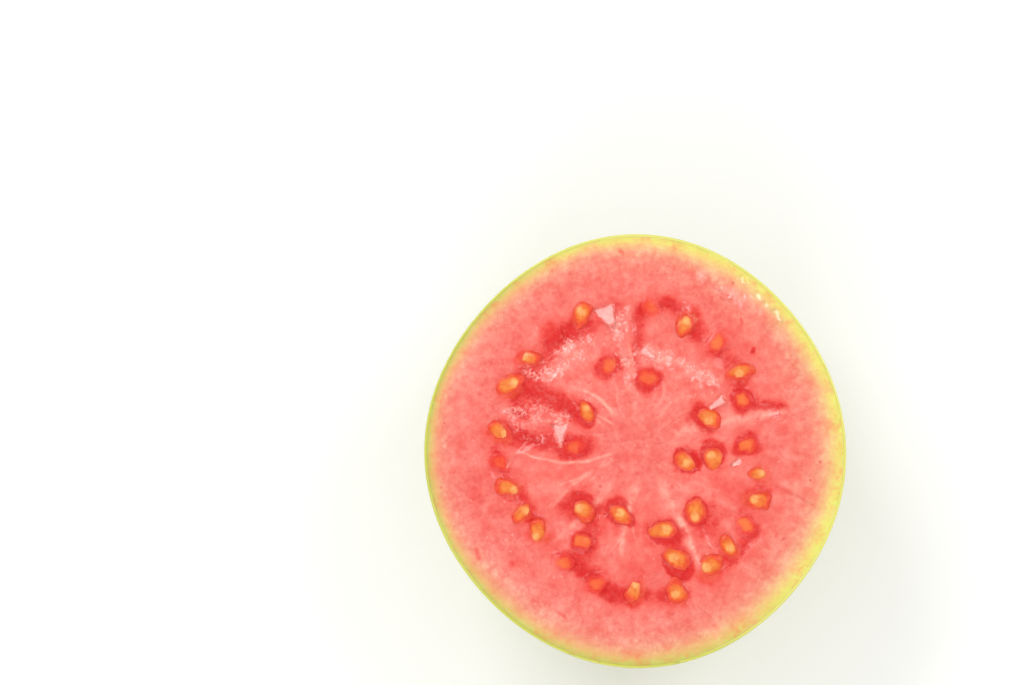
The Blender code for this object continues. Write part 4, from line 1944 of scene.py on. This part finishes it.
        # Specks: the dark ones are real flecks of vein red; the pale ones are painted highlights, small
        # glints of light on the wet flesh.
        for spacing, radius, weight, colour in (
            (0.0019, 0.00025, 0.60, self.vein),
            (0.0013, 0.00020, 0.42, self.grain_glint),
        ):
            dots = shelf.specks(nodes, place=place, spacing=spacing, radius=radius, share=0.34)
            base = nodes.lay(base, colour, dots, inside, weight)
        return base

    def juicy_pulp(self, nodes: Nodes, place: Socket, base: Socket) -> Socket:
        """Lays the red pulp, the glow over the seeds and painted highlights of torn wet grains over the
        base.

        Args:
            nodes: The material's nodes.
            place: The point's place.
            base: The colour of the plain flesh.

        Returns:
            The colour.
        """
        marked, grainy, glowing = nodes.mark("pulp"), nodes.mark("grainy"), nodes.mark("glow")
        ragged = nodes.swing(place, 0.0024, 5.0, 0.68)
        clots = nodes.times(nodes.swing(place, 0.0007, 3.0, 0.6), 0.75)
        pulp = nodes.plus(marked, nodes.times(ragged, 1.30), clots)
        base = nodes.mix(nodes.math("MULTIPLY", pulp, 1.25, clamp=True), base, self.bright_pulp)
        base = nodes.mix(nodes.ease(pulp, 0.28, 1.20), base, self.pulp)
        clean = nodes.math("SUBTRACT", 1.0, marked, clamp=True)
        # Painted highlight: a pale pink sheen over the grainy areas, standing for light off the wet
        # grains.
        pale = nodes.times(grainy, nodes.noise(place, 0.0024, 2.0, 0.5), clean)
        base = nodes.mix(nodes.ease(pale, 0.05, 0.60, 0.0, 0.34), base, self.grain_glint)
        # Painted highlights: pale flecks and grain outlines that stand for glints off torn wet grains, in
        # the pools and the grainy areas.
        shred_glints, rings = self.torn_grain_glints(nodes, place)
        torn = nodes.times(nodes.math("MAXIMUM", nodes.times(marked, 0.20), grainy), shred_glints)
        ring_glints = nodes.times(grainy, rings)
        base = nodes.lay(base, self.grain_glint, nodes.math("MAXIMUM", torn, ring_glints), 0.68)
        glow = nodes.ease(nodes.plus(glowing, nodes.times(ragged, 0.9)), 0.05, 1.00)
        edge = nodes.ease(glowing, 1.0, 0.15, 0.0, 0.8)
        depth = nodes.plus(nodes.mark("veil"), nodes.times(ragged, 1.6), edge)
        tint = nodes.mix(nodes.ease(depth, 0.0, 1.4), self.glow, self.deep_glow)
        return nodes.lay(base, tint, glow, 0.90)

    def torn_grain_glints(self, nodes: Nodes, place: Socket) -> tuple[Socket, Socket]:
        """Where the painted highlights of torn wet grains lie.

        Args:
            nodes: The material's nodes.
            place: The point's place.

        Returns:
            How much of a point the painted glints in pale flecks cover, and how much the painted glints
            along the outlines of wet grains do.
        """
        shred_glints = nodes.ease(nodes.noise(place, 0.0011, 4.0, 0.72), 0.50, 0.64)
        bent = nodes.add("TexNoise", vector=place, scale=self.CELL_BEND_SCALE, detail=2.0)
        bend = (self.CELL_BEND, self.CELL_BEND, 0.0)
        bent = nodes.vector("ADD", place, nodes.vector("MULTIPLY", bent.outputs["Color"], bend))
        cells = nodes.add("TexVoronoi", vector=bent, scale=self.CELL_SCALE).outputs["Distance"]
        off = nodes.math("ABSOLUTE", nodes.math("SUBTRACT", cells, 0.42))
        rings = nodes.times(nodes.ease(off, 0.04, 0.18, 1.0, 0.0), 0.95)
        broken = nodes.ease(nodes.noise(place, 0.0028, 3.0, 0.6), 0.38, 0.58)
        return nodes.times(shred_glints, broken), nodes.times(rings, broken)

    def wet_surface(
        self, nodes: Nodes, shelf: EffectShelf, place: Socket, shader: bpy.types.Node
    ) -> None:
        """Feeds the shader's roughness, coat and bump: wetter in the chambers than round them.

        Args:
            nodes: The material's nodes.
            shelf: The shared effects.
            place: The point's place.
            shader: The material's shader.
        """
        grainy, sleek = nodes.mark("grainy"), nodes.mark("sleek")
        wetness = nodes.plus(
            nodes.ease(nodes.mark("wet"), 0.0, 1.0, 0.20, 0.55),
            nodes.times(grainy, 0.5),
            nodes.times(nodes.mark("snug"), -0.3),
            sleek,
        )
        film = {"size": 0.0030, "dry_roughness": 0.48, "wet_roughness": 0.20}
        wet = shelf.place_in(nodes, Effect.WETNESS, place=place, wetness=wetness, **film)
        pores = shelf.place_in(nodes, Effect.PORES, place=place, size=0.0007, pits=0.25)
        dull = nodes.math("SUBTRACT", 1.0, sleek)
        moist = nodes.times(nodes.math("MAXIMUM", nodes.mark("pulp"), grainy), dull, 2.2)
        beads = nodes.times(nodes.noise(place, 0.0010, 3.0, 0.5), moist)
        height = nodes.plus(nodes.times(pores.outputs["Height"], dull), beads)
        bump = nodes.add("Bump", strength=0.5, distance=0.00003, height=height)
        nodes.fill(
            shader,
            roughness=wet.outputs["Roughness"],
            coat_weight=nodes.times(wet.outputs["Coat"], 0.7),
            normal=bump.outputs["Normal"],
        )

    def rays(self, nodes: Nodes, place: Socket) -> Socket:
        """Thin streaks that run out from the core.

        Args:
            nodes: The material's nodes.
            place: The point's place.

        Returns:
            Noise drawn out along the streaks, from 0 to 1.
        """
        parts = nodes.add("SeparateXYZ", vector=place).outputs
        flat = nodes.add("CombineXYZ", x=parts[0], y=parts[1]).outputs[0]
        bent = nodes.vector("MULTIPLY", nodes.vector("NORMALIZE", flat), (self.RAY_COUNT,) * 3)
        far = nodes.add("VectorMath", {"operation": "LENGTH"})
        nodes.feed(far.inputs[0], flat)
        along = nodes.add("CombineXYZ", z=nodes.times(far.outputs["Value"], 1 / self.RAY_LENGTH))
        field = nodes.vector("ADD", bent, along.outputs[0])
        return nodes.add("TexNoise", vector=field, scale=1.0, detail=4.0, roughness=0.6).outputs[0]


@dataclass(frozen=True)
class SkinFinish:
    """Waxy yellow-green skin with olive blotches, pale pores and brown scars.

    Attributes:
        light: The yellow-green of most of it.
        deep: The greener blotches.
        olive: The darkest blotches and the stem end.
        pale: The pale pores.
        cut: The moist cut edge at the rim, where the fruit is green.
        ripe_cut: The same where it has turned yellow.
        scar: The corky scars.
    """

    light: Colour = (0.60, 0.55, 0.028)
    deep: Colour = (0.34, 0.37, 0.018)
    olive: Colour = (0.15, 0.16, 0.010)
    pale: Colour = (0.70, 0.67, 0.13)
    cut: Colour = (0.60, 0.60, 0.085)
    ripe_cut: Colour = (0.78, 0.74, 0.165)
    scar: Colour = (0.17, 0.045, 0.014)

    # The blotches: the size, the contrast and the two tones of the fine ones that lie on the broad.
    BLOTCH = {"size": 0.010, "contrast": 3.2}
    FINE_BLOTCH = {
        "size": 0.0016,
        "contrast": 2.2,
        "tone": (0.80, 0.84, 0.72),
        "other_tone": (1.10, 1.08, 1.15),
    }

    def make(self, shelf: EffectShelf) -> bpy.types.Material:
        """Makes the material.

        Args:
            shelf: The shared effects.

        Returns:
            The material.
        """
        material, nodes, shader = new_material("guava_skin")
        place = nodes.place()
        broad = shelf.mottle(nodes, place=place, tone=self.deep, other_tone=self.light, **self.BLOTCH)
        fine = shelf.mottle(nodes, place=place, **self.FINE_BLOTCH)
        base = nodes.mix(1.0, broad, fine, "MULTIPLY")
        dark = nodes.ease(nodes.noise(place, 0.0065, 4.0, 0.6), 0.56, 0.74)
        base = nodes.lay(base, self.olive, dark, 0.6)
        for spacing, radius, share, weight, colour in (
            (0.0011, 0.00020, 0.55, 0.45, self.pale),
            (0.0042, 0.00028, 0.35, 0.75, self.scar),
        ):
            specks = shelf.specks(nodes, place=place, spacing=spacing, radius=radius, share=share)
            base = nodes.lay(base, colour, specks, weight)
        base = nodes.lay(base, self.olive, nodes.mark("stem_end"), 0.75)
        ragged = nodes.times(nodes.swing(place, 0.0005, 4.0, 0.7), 0.8)
        scar = nodes.ease(nodes.plus(nodes.mark("scar"), ragged), 0.40, 0.75)
        base = nodes.lay(base, self.scar, scar, 0.85)
        cut = nodes.mix(nodes.ease(nodes.mark("ripe"), 0.30, 0.75), self.cut, self.ripe_cut)
        base = nodes.lay(base, cut, nodes.mark("rim"), 0.85)
        waxed = nodes.ease(scar, 0.0, 1.0, 0.80, 0.15)
        film = {"size": 0.0060, "dry_roughness": 0.42, "wet_roughness": 0.12}
        wax = shelf.place_in(nodes, Effect.WETNESS, place=place, wetness=waxed, **film)
        nodes.fill(
            shader,
            base_color=base,
            roughness=wax.outputs["Roughness"],
            coat_weight=wax.outputs["Coat"],
            normal=shelf.bumps(nodes, 0.5, 0.00010, place=place, size=0.0013, pits=0.35),
            coat_roughness=0.05,
            ior=1.45,
        )
        return material


@dataclass(frozen=True)
class SeedFinish:
    """Hard seeds under juice: amber on top with a cream patch that is partly a painted highlight,
    orange-red where they sink in the pulp.

    Attributes:
        rise: The colours from where a seed comes out of the pulp, at 0, up to its top, at 1.
        cream_and_glint: The cream patch near one end: partly the coat's paler end and partly a painted
            highlight.
        veil: The pulp over a veiled seed.
    """

    rise: tuple[tuple[float, Colour], ...] = (
        (0.00, (0.79, 0.068, 0.034)),
        (0.20, (0.79, 0.100, 0.026)),
        (0.42, (0.80, 0.145, 0.026)),
        (0.70, (0.80, 0.188, 0.030)),
        (1.00, (0.81, 0.210, 0.034)),
    )
    cream_and_glint: Colour = (0.90, 0.40, 0.13)
    veil: Colour = (0.80, 0.100, 0.026)

    # The fine grain of a seed's coat: its size, its contrast and its two tones.
    GRAIN = {
        "size": 0.0008,
        "contrast": 3.6,
        "tone": (0.93, 0.74, 0.66),
        "other_tone": (1.05, 1.22, 1.25),
    }

    def make(self, shelf: EffectShelf) -> bpy.types.Material:
        """Makes the material.

        Args:
            shelf: The shared effects.

        Returns:
            The material.
        """
        material, nodes, shader = new_material("guava_seed")
        shift = nodes.add("CombineXYZ", z=nodes.times(nodes.mark("own"), 3.0))
        place = nodes.vector("ADD", nodes.place(), shift.outputs[0])
        up = nodes.mark("rise")
        uneven = nodes.swing(place, 0.0014, 4.0, 0.6)
        base = nodes.ramp(nodes.plus(up, nodes.times(uneven, 1.1)), self.rise)
        # The cream patch: partly a paler coat, partly a painted highlight on the wet top.
        cream_and_glint = nodes.plus(nodes.mark("cream_and_glint"), nodes.times(uneven, 1.2))
        base = nodes.lay(base, self.cream_and_glint, nodes.ease(cream_and_glint, 0.20, 1.00), 0.85)
        base = nodes.mix(1.0, base, shelf.mottle(nodes, place=place, **self.GRAIN), "MULTIPLY")
        covered = nodes.ease(nodes.noise(place, 0.0016), 0.2, 0.6, 0.45, 0.95)
        base = nodes.lay(base, self.veil, nodes.mark("veil"), covered)
        film = {"size": 0.002, "wetness": 0.60, "dry_roughness": 0.42, "wet_roughness": 0.20}
        wet = shelf.place_in(nodes, Effect.WETNESS, place=place, **film)
        on_top = nodes.ease(up, 0.25, 0.75, 0.0, 0.6)
        nodes.fill(
            shader,
            base_color=base,
            roughness=wet.outputs["Roughness"],
            coat_weight=nodes.times(wet.outputs["Coat"], on_top),
            normal=shelf.bumps(nodes, 0.4, 0.00005, place=place, size=0.0006, pits=0.2),
            subsurface_weight=0.25,
            subsurface_radius=(1.0, 0.45, 0.2),
            subsurface_scale=0.0007,
            specular_ior_level=0.25,
            coat_roughness=0.12,
        )
        return material


@dataclass(frozen=True)
class ScarFinish:
    """Dry brown wood of the stalk's scar, with painted shade: near-black in its cracks, as deep as they
    are.

    Attributes:
        wood: The brown of its face.
        pale: The paler fibres.
        crack_shade: The near-black painted into its cracks: painted shade.
    """

    wood: Colour = (0.16, 0.085, 0.035)
    pale: Colour = (0.34, 0.22, 0.11)
    crack_shade: Colour = (0.03, 0.015, 0.008)

    def make(self, shelf: EffectShelf) -> bpy.types.Material:
        """Makes the material.

        Args:
            shelf: The shared effects.

        Returns:
            The material.
        """
        material, nodes, shader = new_material("guava_stem_scar")
        place = nodes.place()
        tones = {"tone": self.wood, "other_tone": self.pale}
        wood = shelf.mottle(nodes, place=place, size=0.0006, contrast=3.0, **tones)
        nodes.fill(
            shader,
            # Painted shade: the cracks darken as deep as they go.
            base_color=nodes.mix(nodes.mark("crack_shade"), wood, self.crack_shade),
            normal=shelf.bumps(nodes, 0.8, 0.00008, place=place, size=0.0003, pits=0.6),
            roughness=0.82,
        )
        return material


# ---------------------------------------------------------------- the studio


@dataclass(frozen=True)
class Softbox:
    """One soft studio lamp, aimed at the middle of the cut face.

    Attributes:
        name: What it is called.
        azimuth: Where it stands round the fruit, in degrees clockwise from +Y.
        elevation: How high it stands, in degrees above the floor.
        distance: How far away it is.
        size: Its width and its height.
        power: Its power in watts.
    """

    name: str
    azimuth: float
    elevation: float
    distance: float
    size: tuple[float, float]
    power: float

    def light(self, target: Vector) -> None:
        """Sets the lamp up.

        Args:
            target: What it is aimed at.
        """
        lamp = bpy.data.lights.new(self.name, "AREA")
        lamp.shape = "RECTANGLE"
        lamp.size, lamp.size_y = self.size
        lamp.energy = self.power
        turn, lift = math.radians(self.azimuth), math.radians(self.elevation)
        away = Vector((math.sin(turn) * math.cos(lift), math.cos(turn) * math.cos(lift), math.sin(lift)))
        holder = bpy.data.objects.new(self.name, lamp)
        holder.location = target + away * self.distance
        holder.rotation_euler = away.to_track_quat("Z", "Y").to_euler()
        bpy.context.scene.collection.objects.link(holder)


@dataclass(frozen=True)
class Studio:
    """The pale floor, the lamps, the white surroundings and the camera.

    Attributes:
        form: The fruit's form, which the camera and the lamps aim at.
        elevation: How high the camera looks from, in degrees above the floor.
        lens: The camera's lens, in mm.
        face_width: The cut face's width in the picture, as a share of the picture's width.
        off_centre: How far the face lies right of and below the picture's middle, in shares of
            its width.
    """

    form: FruitForm
    elevation: float = 86.0
    lens: float = 100.0
    face_width: float = 0.4135
    off_centre: tuple[float, float] = (0.1203, 0.1049)

    SENSOR_WIDTH = 36.0
    FLOOR_SIZE = 4.0
    FLOOR_COLOUR = (0.95, 0.95, 0.945)
    FLOOR_FLECK = (0.97, 0.97, 0.965)
    SURROUND = 0.74
    SOFTBOXES = (
        Softbox("key_softbox", -40, 50, 0.55, (0.27, 0.20), 0.88),
        Softbox("side_softbox", 58, 48, 0.60, (0.22, 0.26), 0.62),
        Softbox("front_softbox", 190, 40, 0.80, (0.50, 0.40), 1.57),
    )

    def build(self) -> None:
        """Sets everything up."""
        self.lay_floor()
        self.set_surroundings()
        target = Vector((0.0, 0.0, self.form.face_height))
        for softbox in self.SOFTBOXES:
            softbox.light(target)
        self.set_camera(target)

    def lay_floor(self) -> None:
        """Lays the pale floor that the half rests on."""
        mesh = bpy.data.meshes.new("floor")
        shape = bmesh.new()
        bmesh.ops.create_grid(shape, x_segments=1, y_segments=1, size=self.FLOOR_SIZE / 2)
        shape.to_mesh(mesh)
        shape.free()
        floor = bpy.data.objects.new("floor", mesh)
        bpy.context.scene.collection.objects.link(floor)
        material, nodes, shader = new_material("pale_floor")
        tone = nodes.noise(nodes.place(), 0.02, 2.0, 0.5)
        paper = nodes.mix(tone, self.FLOOR_COLOUR, self.FLOOR_FLECK)
        nodes.fill(shader, base_color=paper, roughness=0.85, specular_ior_level=0.1)
        mesh.materials.append(material)

    def set_surroundings(self) -> None:
        """Even white light from all round, and colours shown as they are."""
        world = bpy.data.worlds.new("white_room")
        world.use_nodes = True
        backdrop = world.node_tree.nodes["Background"]
        backdrop.inputs["Color"].default_value = (1.0, 1.0, 1.0, 1.0)
        backdrop.inputs["Strength"].default_value = self.SURROUND
        scene = bpy.context.scene
        scene.world = world
        scene.view_settings.view_transform = "Standard"
        scene.view_settings.look = "None"

    def set_camera(self, target: Vector) -> None:
        """Puts the camera in front and above, with the face off the picture's middle.

        Args:
            target: The middle of the cut face.
        """
        data = bpy.data.cameras.new("camera")
        data.lens = self.lens
        data.sensor_width = self.SENSOR_WIDTH
        seen_width = 2 * self.form.face_radius / self.face_width
        distance = seen_width * self.lens / self.SENSOR_WIDTH
        lift = math.radians(self.elevation)
        back = Vector((0.0, -math.cos(lift), math.sin(lift)))
        up = Vector((0.0, math.sin(lift), math.cos(lift)))
        camera = bpy.data.objects.new("camera", data)
        camera.location = target + back * distance
        right_share, down_share = self.off_centre
        aim = target - Vector((seen_width * right_share, 0.0, 0.0)) + up * seen_width * down_share
        out = (camera.location - aim).normalized()
        right = up.cross(out).normalized()
        camera.rotation_euler = Matrix((right, out.cross(right), out)).transposed().to_euler()
        data.clip_start = 0.01
        bpy.context.scene.collection.objects.link(camera)
        bpy.context.scene.camera = camera


def main() -> None:
    """Builds the guava half, dresses it and sets up the studio."""
    logging.basicConfig(level=logging.INFO, format="%(name)s: %(message)s")
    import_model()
    form = FruitForm.from_frame()
    face = CutFace.cut(form)
    shelf = EffectShelf()

    Studio(form).build()
    flesh = Flesh(face).build()
    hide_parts(NODE)
    dress(flesh, FleshFinish().make(shelf))
    dress(Skin(form).build(), SkinFinish().make(shelf))
    seed_finish = SeedFinish().make(shelf)
    for number in range(1, len(face.chambers) + 1):
        dress(SeedCluster(face, number).build(), seed_finish)
    dress(StalkScar(form).build(), ScarFinish().make(shelf))


if __name__ == "__main__":
    main()
